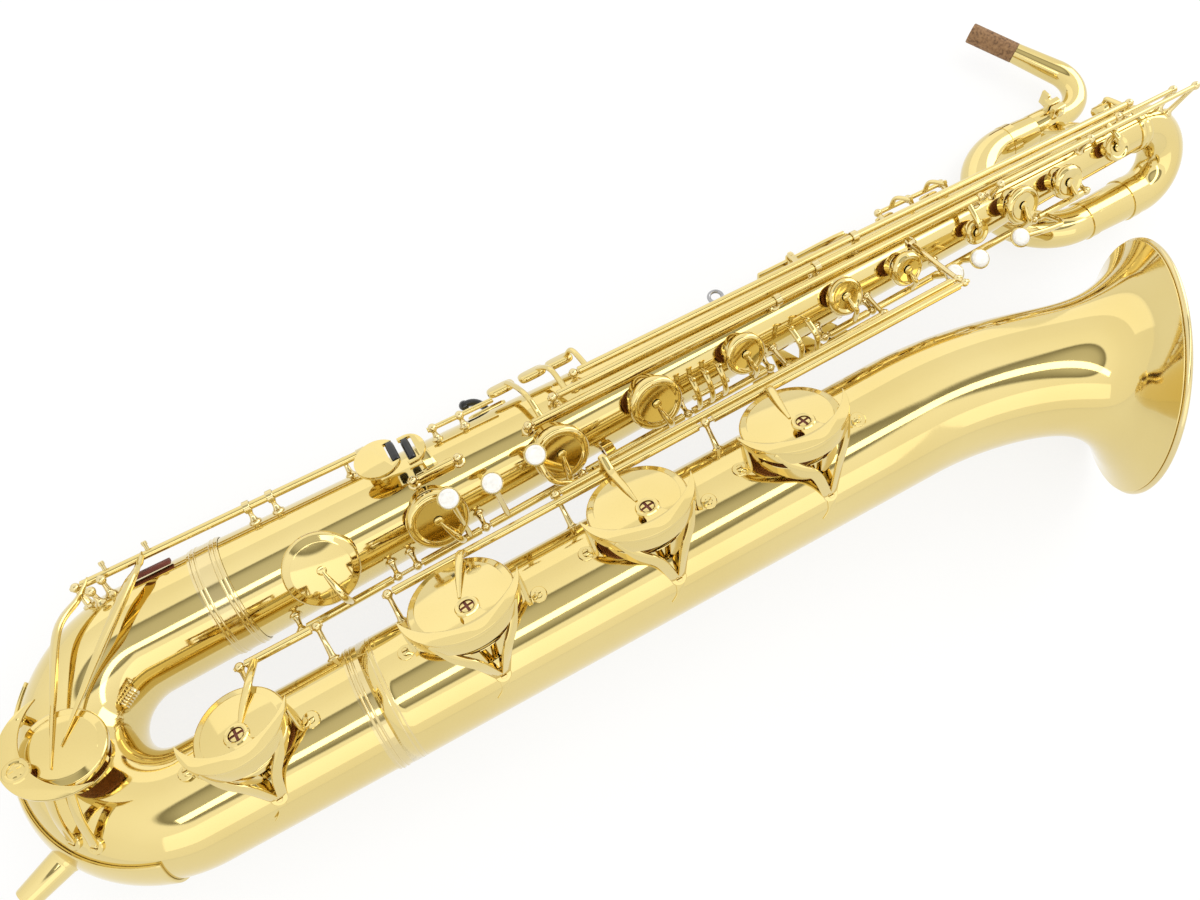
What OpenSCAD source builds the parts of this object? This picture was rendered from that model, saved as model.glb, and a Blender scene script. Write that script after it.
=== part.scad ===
// Low A baritone saxophone lying on its left side.
// Every module is drawn upright along the body axis first:
// X runs from the bow to the crook, Y from the bell to the player, Z to the right hand side.
// The module lie_down() then lays the whole instrument on the floor.

/* [Tubes] */
// Radius of the body tube at the bow
body_r0 = 39.3; // [38:0.1:40]
// Radius of the body tube at its top
body_r1 = 17.5; // [17:0.1:18.5]
// Radius of the bow tube
bow_r = 40.4; // [40:0.1:41.4]
// Radius of the bell stem at the bow
bell_r0 = 41.8; // [41:0.1:42.2]
// Radius of the bell stem where the flare starts
bell_r1 = 44.8; // [44:0.1:45.2]
// Radius of the bell mouth
mouth_r = 90; // [86:0.5:92]
// Distance between body axis and bell axis
axis_gap = 123.5; // [122.5:0.1:125]
// Wall of all tubes
wall = 1.2; // [1:0.1:1.4]

/* [Lengths] */
// Where the body tube leaves the bow
body_x0 = 60; // [58:1:62]
// Where the body tube meets the top bend
body_x1 = 852; // [850:1:854]
// Where the bell stem leaves the bow
bell_x0 = 126; // [124:1:128]
// Where the bell starts to bend away from the body
bell_x1 = 532; // [528:1:534]
// Angle by which the bell mouth leans away from the body
bell_lean = 30.7; // [28:0.1:32]
// Radius of the bend of the bell
bell_bend = 307; // [300:1:312]

/* [Crook] */
// Radius of the crook tube after the top bend
crook_r = 15.5; // [15:0.1:16]
// Radius of the crook loop
loop_bend = 50; // [49:0.5:51]
// Radius of the neck tube
neck_r = 10.4; // [10:0.1:10.8]
// Radius of the cork that takes the mouthpiece
cork_r = 8.8; // [8.6:0.1:9]
// Length of the cork
cork_l = 44; // [40:1:48]

/* [Keywork] */
// Radius of the hinge rods
rod_r = 1.5; // [1.4:0.05:1.6]
// Radius of the hinge tubes
hinge_r = 2.9; // [2.8:0.05:3]
// Height of the tone hole chimneys
chimney_h = 4; // [3.8:0.1:4.2]
// Height of a key cup
cup_h = 6; // [5.8:0.1:6.2]
// Thickness of a pad
pad_t = 4.5; // [4.3:0.1:4.6]
// Radius of a finger pearl
pearl_r = 7; // [6.5:0.1:7.2]

/* [Floor peg] */
// Radius of the bore that takes the floor peg
peg_bore_r = 5; // [4:0.1:5.5]
// Depth of that bore
peg_bore_l = 28; // [24:1:29]

/* [Hidden] */
$fn = 96;

brass = "#e3c46a";
pale_brass = "#ecd488";
felt = "#6b2b20";
black = "#1a1a1a";
cork = "#8a5a30";
leather = "#b58a5f";
silver = "#c9ccd0";

// Gaps between pieces
skin_gap = 0.05;
run_gap = 0.05;
rest_gap = 0.35;
eps = 0.01;

// How the instrument leans when it lies on the bell mouth, the bow and the crook loop
lie_roll = -7.598;
lie_pitch = -2.300;
lie_x = -387.461;
lie_y = 35.642;
lie_z = 40.762;

// Kinds of tube that keywork stands on
on_body = 0;
on_bell = 1;
on_bow = 2;

bow_bend = axis_gap / 2;
crook_y = -30;
crook_z = -48;
top_bend = norm([crook_y, crook_z]) / 2;
loop_x = 793;
receiver_x0 = 824;
receiver_x1 = 852;
receiver_y = crook_y + 2 * loop_bend;
neck_bend = 26;
neck_turn = 120;
neck_x = 860;
neck_l = 85;
neck_lift = 9.2;
mouth_s = 175;
mouth_power = 9;

module lie_down() translate([lie_x, lie_y, lie_z]) rotate([lie_roll, lie_pitch, 0]) children();

// Points on the tubes
function body_r(x) = body_r0 + (body_r1 - body_r0) * (x - body_x0) / (body_x1 - body_x0);
function bell_r(x) = bell_r0 + (bell_r1 - bell_r0) * (x - bell_x0) / (bell_x1 - bell_x0);
function tube_r(t, x) = t == on_body ? body_r(x) : t == on_bell ? bell_r(x) : bow_r + 0.6;
function axis_y(t) = t == on_body ? 0 : -axis_gap;
function pt(t, phi, x, h) =
    [x, axis_y(t) - sin(phi) * (tube_r(t, x) + h), cos(phi) * (tube_r(t, x) + h)];

// A key is [tube, angle, x, cup radius, rod angle, rod height, hinge start, hinge end,
// how far it opens, 1 if it stands open].
low_a = [on_bell, -14.5, 445, 34.5, -54, 21, 408, 616, 9, 1];
low_b_flat = [on_bell, -14.5, 328, 34.5, -60, 25, 292, 616, 8, 1];
low_b = [on_bell, -14.5, 200, 36, -54, 21, 164, 396, 9, 1];
low_c_sharp = [on_bow, -12, 47, 30.5, -62, 24, 60, 106, 7, 0];
low_e_flat = [on_body, 44, 128, 26, 88, 12, 100, 165, 8, 0];
d_stack = [on_body, 50, 211, 22, 88, 12, 188, 234, 9, 1];
e_stack = [on_body, 50, 307, 21, 88, 12, 242, 312, 9, 1];
f_stack = [on_body, 51, 384, 20.5, 88, 12, 320, 402, 9, 1];
f_sharp_stack = [on_body, 50, 460, 16, 88, 12, 410, 474, 9, 1];
g_sharp_stack = [on_body, 50, 551, 14.5, 90, 11, 532, 568, 9, 0];
g_stack = [on_body, 52, 604, 13.5, 90, 11, 576, 634, 10, 1];
a_stack = [on_body, 50, 714, 15, 90, 11, 642, 724, 10, 1];
b_stack = [on_body, 52, 759, 13.5, 90, 11, 732, 776, 10, 1];
side_b_flat = [on_body, 58, 672, 10, 16, 12, 299, 680, 6, 0];
side_c = [on_body, 44, 812, 10.5, 2, 12, 324, 820, 7, 0];
high_e = [on_body, -56, 836, 9.8, -12, 12, 346, 838, 7, 0];
palm_d = [on_body, 185, 596, 11, 228, 9, 582, 614, 9, 0];
palm_e_flat = [on_body, 185, 638, 11, 228, 9, 622, 654, 9, 0];
palm_f = [on_body, 185, 680, 10, 228, 9, 662, 694, 9, 0];
body_holes = [low_e_flat, d_stack, e_stack, f_stack, f_sharp_stack, g_sharp_stack, g_stack,
    a_stack, b_stack, side_b_flat, side_c, high_e, palm_d, palm_e_flat, palm_f];
bell_holes = [low_a, low_b_flat, low_b];

function hinge_a(k) = pt(k[0], k[4], k[6], k[5]);
function hinge_b(k) = pt(k[0], k[4], k[7], k[5]);
function side_of(k) = sign(k[4] - k[1]);
function cup_pt(k, u, v, z) =
    pt(k[0], k[1], k[2], 0) + [u, 0, 0] + v * [0, cos(k[1]), sin(k[1])]
    + z * [0, -sin(k[1]), cos(k[1])];
cup_z0 = chimney_h + rest_gap + pad_t - 3.5;
cup_top = cup_z0 + cup_h;
// How far a chimney stays inside the edge of its cup
chimney_in = 4;

// Turns a point by an angle about the line from a to b
function turned(p, a, b, angle) =
    let (u = (b - a) / norm(b - a), d = p - a)
    a + d * cos(angle) + cross(u, d) * sin(angle) + u * (u * d) * (1 - cos(angle));
function opened(k, p) = turned(p, hinge_a(k), hinge_b(k), side_of(k) * k[8]);

module turn_about(a, b, angle) translate(a) rotate(a = angle, v = b - a) translate(-a) children();
module open(k) turn_about(hinge_a(k), hinge_b(k), side_of(k) * k[8]) children();
module at_rest(k) turn_about(hinge_a(k), hinge_b(k), side_of(k) * k[8] * k[9]) children();

// A round bar between two points
module rod(a, b, r, r2 = -1) {
    d = b - a;
    translate(a)
        rotate([0, acos(d[2] / norm(d)), atan2(d[1], d[0])])
        cylinder(h = norm(d), r1 = r, r2 = r2 < 0 ? r : r2);
}

// A flat bar between two points, as wide as w0 at a and w1 at b
module bar(a, b, w0, w1, t) {
    d = b - a;
    l = norm(d);
    translate(a)
        rotate([0, -asin(d[2] / l), atan2(d[1], d[0])])
        translate([0, 0, -t / 2])
        linear_extrude(t)
        polygon([[0, -w0 / 2], [l, -w1 / 2], [l, w1 / 2], [0, w0 / 2]]);
}

module along_x(x) translate([x, 0, 0]) rotate([0, 90, 0]) children();

module tube_core(t, more) {
    if (t == on_body) {
        along_x(body_x0) cylinder(h = body_x1 - body_x0, r1 = body_r0 + more, r2 = body_r1 + more);
    }
    if (t == on_bell) {
        translate([0, -axis_gap, 0])
            along_x(bell_x0)
            cylinder(h = bell_x1 - bell_x0, r1 = bell_r0 + more, r2 = bell_r1 + more);
    }
    if (t == on_bow) bell_leg(more, 0);
}

// The bow: half a ring and two legs
module bow_ring() translate([0, -bow_bend, 0])
    rotate([0, 0, 90])
    rotate_extrude(angle = 180)
    translate([bow_bend, 0])
    children();
module body_leg(more, over) along_x(skin_gap - over)
    cylinder(h = body_x0 - skin_gap + 2 * over, r1 = bow_r + more, r2 = body_r0 + more);
module bell_leg(more, over) translate([0, -axis_gap, 0])
    along_x(skin_gap - over)
    cylinder(h = bell_x0 - skin_gap + 2 * over, r1 = bow_r + more, r2 = bell_r0 + more);

// Frame on top of a tone hole
module at_hole(k, h) translate(pt(k[0], k[1], k[2], h)) rotate([k[1], 0, 0]) children();

module chimney(k) at_hole(k, -tube_r(k[0], k[2]) / 2)
    cylinder(h = tube_r(k[0], k[2]) / 2 + chimney_h, r = k[3] - chimney_in);
module chimney_bore(k) at_hole(k, -tube_r(k[0], k[2]) / 2)
    cylinder(h = tube_r(k[0], k[2]), r = k[3] - chimney_in - wall);

// Fixed tubes
module body_tube() color(brass) lie_down() difference() {
    union() {
        tube_core(on_body, 0);
        for (k = body_holes) chimney(k);
    }
    along_x(body_x0 - eps)
        cylinder(h = body_x1 - body_x0 + 2 * eps, r1 = body_r0 - wall, r2 = body_r1 - wall);
    for (k = body_holes) chimney_bore(k);
}

low_c_phi = 13;
low_c_r = 26;
low_c_turn = 10;
low_c_foot = [0, -bow_bend, 0] - bow_bend * [cos(low_c_turn), sin(low_c_turn), 0];
module at_low_c(h)
    translate(low_c_foot) rotate([0, low_c_phi, 0]) translate([0, 0, bow_r + h]) children();

module bow() color(brass) lie_down() {
    difference() {
        union() {
            bow_ring() crook_profile(bow_r);
            difference() {
                at_low_c(-bow_r / 2) cylinder(h = bow_r / 2 + chimney_h, r = low_c_r - chimney_in);
                bow_ring() circle(bow_r - wall / 2);
            }
        }
        at_low_c(-bow_r / 2) cylinder(h = bow_r, r = low_c_r - chimney_in - wall);
    }
    difference() {
        body_leg(0, 0);
        body_leg(-wall, eps);
    }
    difference() {
        union() {
            bell_leg(0, 0);
            chimney(low_c_sharp);
        }
        bell_leg(-wall, eps);
        chimney_bore(low_c_sharp);
    }
}

module bell_stem() color(brass) lie_down() difference() {
    union() {
        tube_core(on_bell, 0);
        for (k = bell_holes) chimney(k);
    }
    translate([0, -axis_gap, 0])
        along_x(bell_x0 - eps)
        cylinder(h = bell_x1 - bell_x0 + 2 * eps, r1 = bell_r0 - wall, r2 = bell_r1 - wall);
    for (k = bell_holes) chimney_bore(k);
}

// Flared bell, swept along the bend and then straight to the mouth
flare_rings = 24;
flare_sides = 64;
bend_s = bell_bend * bell_lean * PI / 180;
function flare_angle(s) = min(s, bend_s) / bend_s * bell_lean;
function flare_axis(s) =
    let (a = flare_angle(s), rest = max(s - bend_s, 0))
    [bell_x1 + bell_bend * sin(a) + rest * cos(a),
     -axis_gap - bell_bend * (1 - cos(a)) - rest * sin(a), 0];
function flare_r(s) = bell_r1 + (mouth_r - bell_r1) * pow(s / mouth_s, mouth_power);
function flare_s(i) = mouth_s * (1 - pow(1 - i / flare_rings, 1.7));
function flare_pt(s, r, j) =
    let (a = flare_angle(s), q = 360 * j / flare_sides)
    flare_axis(s) + r * [cos(q) * sin(a), cos(q) * cos(a), sin(q)];
flare_points = [
    for (i = [0:flare_rings]) for (j = [0:flare_sides - 1])
        flare_pt(flare_s(i), flare_r(flare_s(i)), j),
    for (i = [0:flare_rings]) for (j = [0:flare_sides - 1])
        flare_pt(flare_s(i), flare_r(flare_s(i)) - wall, j)
];
flare_inner = (flare_rings + 1) * flare_sides;
function wrap(j) = (j + 1) % flare_sides;
flare_faces = [
    for (i = [0:flare_rings - 1]) for (j = [0:flare_sides - 1]) each [
        [i * flare_sides + j, (i + 1) * flare_sides + j, i * flare_sides + wrap(j)],
        [(i + 1) * flare_sides + j, (i + 1) * flare_sides + wrap(j), i * flare_sides + wrap(j)],
        [flare_inner + i * flare_sides + j, flare_inner + i * flare_sides + wrap(j),
            flare_inner + (i + 1) * flare_sides + j],
        [flare_inner + (i + 1) * flare_sides + j, flare_inner + i * flare_sides + wrap(j),
            flare_inner + (i + 1) * flare_sides + wrap(j)]
    ],
    for (j = [0:flare_sides - 1]) each [
        [j, wrap(j), flare_inner + j],
        [wrap(j), flare_inner + wrap(j), flare_inner + j],
        [flare_rings * flare_sides + j, flare_inner + flare_rings * flare_sides + j,
            flare_rings * flare_sides + wrap(j)],
        [flare_rings * flare_sides + wrap(j), flare_inner + flare_rings * flare_sides + j,
            flare_inner + flare_rings * flare_sides + wrap(j)]
    ]
];
module bell_flare() color(brass) lie_down() polyhedron(flare_points, flare_faces);

rim_wire = 2.2;
module bell_rim() color(pale_brass) lie_down()
    translate(flare_axis(mouth_s + rim_wire))
    rotate([0, 90, -bell_lean])
    rotate_extrude($fn = 96)
    translate([mouth_r, 0])
    circle(rim_wire);

// Double beads over both ends of the bow
bead_xs = [-8, -5, 6, 9];
module beads(x0, r0) {
    for (dx = bead_xs) along_x(x0 + dx) difference() {
        cylinder(h = 1.6, r = r0 + 1.4);
        translate([0, 0, -1]) cylinder(h = 4, r = r0 + 0.75);
    }
}
module sleeve(x0, r0) along_x(x0 - 10) difference() {
    cylinder(h = 22, r = r0 + 0.9);
    translate([0, 0, -1]) cylinder(h = 24, r = r0 + 0.35);
}
module ferrules() color(pale_brass) lie_down() {
    beads(body_x0, body_r0);
    sleeve(body_x0, body_r0);
    translate([0, -axis_gap, 0]) {
        beads(bell_x0, bell_r0);
        sleeve(bell_x0, bell_r0);
    }
}

// Guard strip round the outside of the bow
guard_half = 34;
strip_t = 2.2;
module bow_guard() color(brass) lie_down()
    translate([0, -bow_bend, 0])
    rotate([0, 0, 140])
    rotate_extrude(angle = 112)
    translate([bow_bend, 0])
    intersection() {
        difference() {
            circle(bow_r + strip_t);
            circle(bow_r + skin_gap);
        }
        polygon([[0, 0], [70, -70 * tan(guard_half)], [70, 70 * tan(guard_half)]]);
    }

// Socket for the floor peg on the outside of the bow
peg_turn = 210;
peg_aim = 201;
peg_l = 39;
peg_r0 = 10.5;
peg_r1 = 8;
peg_base = [0, -bow_bend, 0] + (bow_bend + bow_r - 6) * [cos(peg_turn), sin(peg_turn), 0];
peg_end = peg_base + peg_l * [cos(peg_aim), sin(peg_aim), 0];
module peg_socket() color(brass) lie_down() difference() {
    rod(peg_base, peg_end, peg_r0, peg_r1);
    rod(peg_end - peg_bore_l * [cos(peg_aim), sin(peg_aim), 0],
        peg_end + [cos(peg_aim), sin(peg_aim), 0], peg_bore_r);
    bow_ring() circle(bow_r + strip_t + skin_gap);
}

// Round brace between body and bell
brace_x = 345;
brace_z = -17;
brace_ring_r = 17;
brace_y = (-body_r(brace_x) - axis_gap + bell_r(brace_x)) / 2;
module brace_ring(h, r) translate([brace_x, brace_y, brace_z])
    rotate([90, 0, 90])
    cylinder(h = h, r = r, center = true);
module bell_brace() color(brass) lie_down() difference() {
    union() {
        brace_ring(4, brace_ring_r);
        for (dz = [-6, 6]) {
            translate([brace_x - 4, -axis_gap, brace_z + dz - 2]) cube([8, axis_gap, 4]);
        }
    }
    brace_ring(18, brace_ring_r - 3);
    tube_core(on_body, skin_gap);
    tube_core(on_bell, skin_gap);
}

// Crook: the top bend of the body, then the loop that passes behind it
crook_turn = atan2(crook_z, crook_y);
module crook_profile(r) difference() {
    circle(r);
    circle(r - wall);
}
module crook_bend() color(brass) lie_down() {
    rotate([crook_turn, 0, 0])
        translate([body_x1 + skin_gap, top_bend, 0])
        rotate([0, 0, -90])
        rotate_extrude(angle = 180)
        translate([top_bend, 0])
        crook_profile(body_r1);
    translate([body_x1 - 5, 0, 0]) along_x(0) difference() {
        cylinder(h = 10, r = body_r1 + 1.6);
        translate([0, 0, -1]) cylinder(h = 12, r = body_r1 + 0.2);
    }
}
module crook_loop() color(brass) lie_down() {
    translate([0, crook_y, crook_z]) along_x(loop_x + skin_gap) difference() {
        cylinder(h = body_x1 - loop_x - skin_gap, r1 = crook_r, r2 = body_r1);
        translate([0, 0, -eps])
            cylinder(h = body_x1 - loop_x + 1, r1 = crook_r - wall, r2 = body_r1 - wall);
    }
    translate([loop_x, crook_y + loop_bend, crook_z])
        rotate([0, 0, 90])
        rotate_extrude(angle = 180)
        translate([loop_bend, 0])
        crook_profile(crook_r);
    translate([0, receiver_y, crook_z]) along_x(loop_x + skin_gap) difference() {
        cylinder(h = receiver_x0 - loop_x - skin_gap, r1 = crook_r, r2 = neck_r + 3);
        translate([0, 0, -eps])
            cylinder(h = receiver_x0 - loop_x + 1, r1 = crook_r - wall, r2 = neck_r + 3 - wall);
    }
}

// Receiver with its clamp lugs, and the brace plate to the body
receiver_r = neck_r + 3.2;
lug_z = crook_z + 17;
screw_r = 2;
module at_screw() translate([receiver_x1 - 8, receiver_y, lug_z]) rotate([-90, 0, 0]) children();
module neck_receiver() color(brass) lie_down() difference() {
    union() {
        translate([receiver_x0, receiver_y, crook_z])
            rotate([0, 90, 0])
            cylinder(h = receiver_x1 - receiver_x0, r = receiver_r);
        translate([receiver_x1 - 14, receiver_y - 6, crook_z]) cube([12, 12, lug_z - crook_z + 5]);
        bar([receiver_x0 + 10, receiver_y - 8, crook_z + 6], [receiver_x0 + 18, 20, -12], 16, 12, 3);
    }
    translate([receiver_x0 - 1, receiver_y, crook_z])
        rotate([0, 90, 0])
        cylinder(h = receiver_x1 - receiver_x0 + 2, r = neck_r + run_gap);
    translate([receiver_x1 - 18, receiver_y - 0.8, crook_z]) cube([30, 1.6, 40]);
    at_screw() cylinder(h = 40, r = screw_r + run_gap, center = true);
    translate([receiver_x0 + 13, 42, -40]) cylinder(h = 40, r = 4.5);
    tube_core(on_body, skin_gap);
}
module clamp_screw() color(brass) lie_down() at_screw() {
    translate([0, 0, -9]) cylinder(h = 20, r = screw_r);
    translate([0, 0, 6.4]) cylinder(h = 2.4, r = 4);
    translate([-1.2, -6.5, 8.8]) cube([2.4, 13, 8]);
    translate([0, 0, -9]) cylinder(h = 2.6, r = 3.2);
}

// Neck and cork, turned up a little in the receiver
module in_receiver() translate([0, receiver_y, crook_z]) rotate([neck_lift, 0, 0]) children();
neck_end = [neck_x + neck_bend * sin(neck_turn), neck_bend * (1 - cos(neck_turn)), 0];
neck_dir = [cos(neck_turn), sin(neck_turn), 0];
cork_end = neck_end + neck_l * neck_dir;
cork_start = cork_end - cork_l * neck_dir;
tip_r = cork_r - 1.6;
collar_l = 5;
tenon_l = receiver_x1 + rest_gap - receiver_x0 - 2;
neck_foot_l = neck_x - receiver_x0 - 2 - skin_gap;
module neck_tube() color(brass) lie_down() in_receiver() {
    along_x(receiver_x0 + 2) rotate_extrude() polygon([
        [neck_r - wall, 0], [neck_r, 0], [neck_r, tenon_l], [neck_r + 2, tenon_l],
        [neck_r + 2, tenon_l + collar_l], [neck_r, tenon_l + collar_l],
        [neck_r, neck_foot_l], [neck_r - wall, neck_foot_l]
    ]);
    translate([neck_x, neck_bend, 0])
        rotate([0, 0, -90])
        rotate_extrude(angle = neck_turn)
        translate([neck_bend, 0])
        crook_profile(neck_r);
    translate(neck_end) rotate([0, 90, neck_turn]) rotate_extrude() polygon([
        [neck_r - wall, skin_gap], [neck_r, skin_gap], [cork_r, neck_l - cork_l], [tip_r, neck_l - cork_l],
        [tip_r, neck_l], [tip_r - wall, neck_l], [tip_r - wall, neck_l - cork_l - 1]
    ]);
}
module neck_cork() color(cork) lie_down() in_receiver() difference() {
    rod(cork_start + skin_gap * neck_dir, cork_end, cork_r);
    rod(cork_start, cork_end + neck_dir, tip_r + skin_gap);
}

// Strap ring on the back of the body
strap_x = 478;
ring_r = 5.2;
ring_wire = 1.5;
strap_y = body_r(strap_x) + 9;
module strap_ring() color(silver) lie_down() difference() {
    union() {
        translate([strap_x, strap_y, 0])
            rotate_extrude()
            translate([ring_r, 0])
            circle(ring_wire, $fn = 24);
        translate([strap_x - 5, body_r(strap_x) - 3, -4]) cube([10, 6.4, 8]);
    }
    tube_core(on_body, skin_gap);
}

// Thumb hook on the back of the body
hook_x = 268;
hook_phi = -72;
hook_r = 11;
module thumb_hook() color(black) lie_down() difference() {
    translate(pt(on_body, hook_phi, hook_x, 0)) rotate([hook_phi, 0, 0]) {
        translate([-4, -7, -4]) cube([30, 14, 5.5]);
        translate([0, 0, 1])
            rotate([90, 0, 0])
            rotate_extrude(angle = 100)
            translate([hook_r, 0])
            circle(3, $fn = 24);
        rotate([0, -100, 0]) translate([hook_r, 0, 0]) sphere(3.4, $fn = 24);
    }
    tube_core(on_body, skin_gap);
}

// Ball headed posts that carry the rods
ball_r = 3.4;
post_gap = ball_r + 0.5;
foot_r = 4.6;
bead_in = rod_r + 0.7;
// A ball with the hole for a rod along the line from a to b
module bead(a, b, r) {
    d = b - a;
    translate(a)
        rotate([0, acos(d[2] / norm(d)), atan2(d[1], d[0])])
        rotate_extrude()
        intersection() {
            circle(r);
            translate([rod_r + skin_gap, -r]) square([r, 2 * r]);
        }
}
module post_stem(t, phi, x, h) difference() {
    union() {
        rod(pt(t, phi, x, -3), pt(t, phi, x, h), 2.2, 1.8);
        rod(pt(t, phi, x, -2), pt(t, phi, x, 1.6), foot_r, foot_r - 0.4);
    }
    tube_core(t, skin_gap);
}
module post(t, phi, x, h) {
    post_stem(t, phi, x, h - bead_in);
    bead(pt(t, phi, x, h), pt(t, phi, x + 1, h), ball_r);
}
// A ring on a post in which a long hinge tube turns
guide_l = 5;
guide_r = hinge_r + rest_gap;
module guide(t, phi, x, h) {
    post_stem(t, phi, x, h - guide_r - 0.5);
    difference() {
        rod(pt(t, phi, x - guide_l / 2, h), pt(t, phi, x + guide_l / 2, h), guide_r + 1.3);
        rod(pt(t, phi, x - guide_l, h), pt(t, phi, x + guide_l, h), guide_r);
    }
}
// A line of rods is [tube, angle, height, post positions, guide positions]
touch_line = [on_body, 165, 10, [466, 565.5], []];
e_flat_line = [on_body, 12, 9, [208, 242], []];
c_sharp_line = [on_bow, low_c_sharp[4], low_c_sharp[5], [56, 110], []];
bracket_x = 621;
rod_lines = [
    [on_bell, -54, 21, [160, 402, bracket_x], []],
    [on_bell, -60, 25, [288, bracket_x], []],
    [on_body, 88, 12, [96, 169, 184, 238, 316, 406, 478], []],
    [on_body, 90, 11, [528, 572, 638, 728, 780], []],
    [on_body, 16, 12, [295, 684], [500]],
    [on_body, 2, 12, [320, 824], [540]],
    [on_body, -12, 12, [342, 842], [580]],
    [on_body, 228, 9, [578, 618, 658, 698], []],
    c_sharp_line,
    e_flat_line,
    touch_line
];
module line_rod(l, r) {
    xs = l[3];
    rod(pt(l[0], l[1], xs[0] - ball_r, l[2]), pt(l[0], l[1], xs[len(xs) - 1] + ball_r, l[2]), r);
}
// The upper ends of the two bell rods are carried by one bracket on the body
bracket_phi = 30;
bracket_ends = [for (i = [0, 1]) pt(on_bell, rod_lines[i][1], bracket_x, rod_lines[i][2])];
function toward(a, b, l) = a + l * (b - a) / norm(b - a);
module rod_bracket() {
    foot = pt(on_body, bracket_phi, bracket_x, -3);
    difference() {
        rod(foot, toward(bracket_ends[1], foot, bead_in), 2.3, 2);
        tube_core(on_body, skin_gap);
    }
    rod(
        toward(bracket_ends[1], bracket_ends[0], bead_in),
        toward(bracket_ends[0], bracket_ends[1], bead_in),
        2
    );
    for (i = [0, 1]) {
        l = rod_lines[i];
        bead(bracket_ends[i], pt(on_bell, l[1], bracket_x + 1, l[2]), ball_r - 0.4);
    }
}
// Both ends of the rod of the low C key
c_line_phi = -48;
c_line_h = 12;
c_x0 = -18;
c_x1 = 192;
c_end = pt(on_body, c_line_phi, c_x0 - post_gap, c_line_h);
module c_rod() rod(c_end, pt(on_body, c_line_phi, c_x1 + post_gap + ball_r, c_line_h), rod_r);
module bow_post() {
    foot = bow_pt(102.2, 40.5, 0.15);
    rod(foot, toward(c_end, foot, bead_in), 3, 1.8);
    bead(c_end, c_a, ball_r);
}
module posts() color(pale_brass) lie_down() {
    for (l = rod_lines) {
        for (x = l[3]) {
            if (x != bracket_x) post(l[0], l[1], x, l[2]);
        }
        for (x = l[4]) guide(l[0], l[1], x, l[2]);
    }
    rod_bracket();
    post(on_body, c_line_phi, c_x1 + post_gap, c_line_h);
    bow_post();
    octave_cheeks();
}
module hinge_rods() color(pale_brass) lie_down() {
    for (l = rod_lines) line_rod(l, rod_r);
    octave_pin();
    c_rod();
}

// Key cups, arms and pads
module cup(r) rotate_extrude($fn = 72) polygon([
    [0, cup_z0 + 3.5], [r - 1.5, cup_z0 + 3.5], [r - 1.5, cup_z0], [r, cup_z0], [r, cup_top - 2.4],
    [r - 1.6, cup_top - 0.8], [r - 6, cup_top], [0, cup_top]
]);
module pad(r) translate([0, 0, chimney_h + rest_gap]) cylinder(h = pad_t, r = r - 1.5 - skin_gap);
module key_pad(k) at_rest(k) at_hole(k, 0) pad(k[3]);

arm_w = 7;
arm_t = 3;
arm_r = 2.2;
// How much thicker an arm is at its bends
knuckle = 0.4;
// A key closed over its hole: cup, arm and hinge tube, with the bore for its rod
module key(k, arm_x, elbow = []) at_rest(k) difference() {
    union() {
        at_hole(k, 0) cup(k[3]);
        key_arm(k, arm_x, elbow);
        rod(hinge_a(k), hinge_b(k), hinge_r);
        children();
    }
    rod(pt(k[0], k[4], k[6] - 1, k[5]), pt(k[0], k[4], k[7] + 1, k[5]), rod_r + run_gap);
}
module key_arm(k, arm_x, elbow) {
    middle = cup_pt(k, 0, 0, cup_top + arm_t / 2 - 0.4);
    edge = cup_pt(k, arm_x * 0.8, -side_of(k) * (k[3] - 2), cup_top + arm_t / 2);
    path = concat([edge], elbow, [pt(k[0], k[4], k[2] + arm_x, k[5])]);
    bar(middle, edge, arm_w - 1, arm_w, arm_t);
    translate(middle)
        rotate([k[1], 0, 0])
        translate([0, 0, -arm_t / 2])
        cylinder(h = arm_t, r = arm_w / 2);
    for (i = [1:len(path) - 1]) {
        rod(path[i - 1], path[i], arm_r);
        translate(path[i - 1]) sphere(arm_r + knuckle, $fn = 24);
    }
}
// A finger pearl in its holder, on an arm from the hinge along a path of points
module pearl_arm(k, from_x, path) {
    ends = concat([pt(k[0], k[4], from_x, k[5])], path);
    for (i = [1:len(path)]) {
        rod(ends[i - 1], ends[i], arm_r);
        if (i < len(path)) translate(ends[i]) sphere(arm_r + knuckle, $fn = 24);
    }
    translate(ends[len(path)]) rotate([k[1] * 0.3, 0, 0]) {
        cylinder(h = 2.6, r = pearl_r + 0.8);
        translate([0, 0, 2.5]) cylinder(h = 2.2, r1 = pearl_r, r2 = pearl_r - 2);
    }
}

module low_a_key() color(brass) lie_down() key(low_a, -14);
// Its arm passes over the rod of the low B key
module low_b_flat_key() color(brass) lie_down() key(low_b_flat, -2, [[326, -65.5, 50.5]]);
module low_b_key() color(brass) lie_down() key(low_b, 4);
module low_c_sharp_key() color(brass) lie_down() key(low_c_sharp, 19);
module low_e_flat_key() color(brass) lie_down() key(low_e_flat, 6);
module d_key() color(brass) lie_down() key(d_stack, 10) pearl_arm(d_stack, 226, [[223, -32, 53]]);
module e_key() color(brass) lie_down() key(e_stack, -2) pearl_arm(e_stack, 256, [[253, -36, 52]]);
module f_key() color(brass) lie_down() key(f_stack, 6)
    pearl_arm(f_stack, 325, [[322, -56, 13], [292, -51, 38], [287, -33, 54]]);
module f_sharp_key() color(brass) lie_down() key(f_sharp_stack, 4);
module g_sharp_key() color(brass) lie_down() key(g_sharp_stack, 4);
module g_key() color(brass) lie_down() key(g_stack, 4) pearl_arm(g_stack, 628, [[632, -46, 20]]);
module a_key() color(brass) lie_down() key(a_stack, 2) pearl_arm(a_stack, 656, [[656, -45, 20]]);
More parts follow.
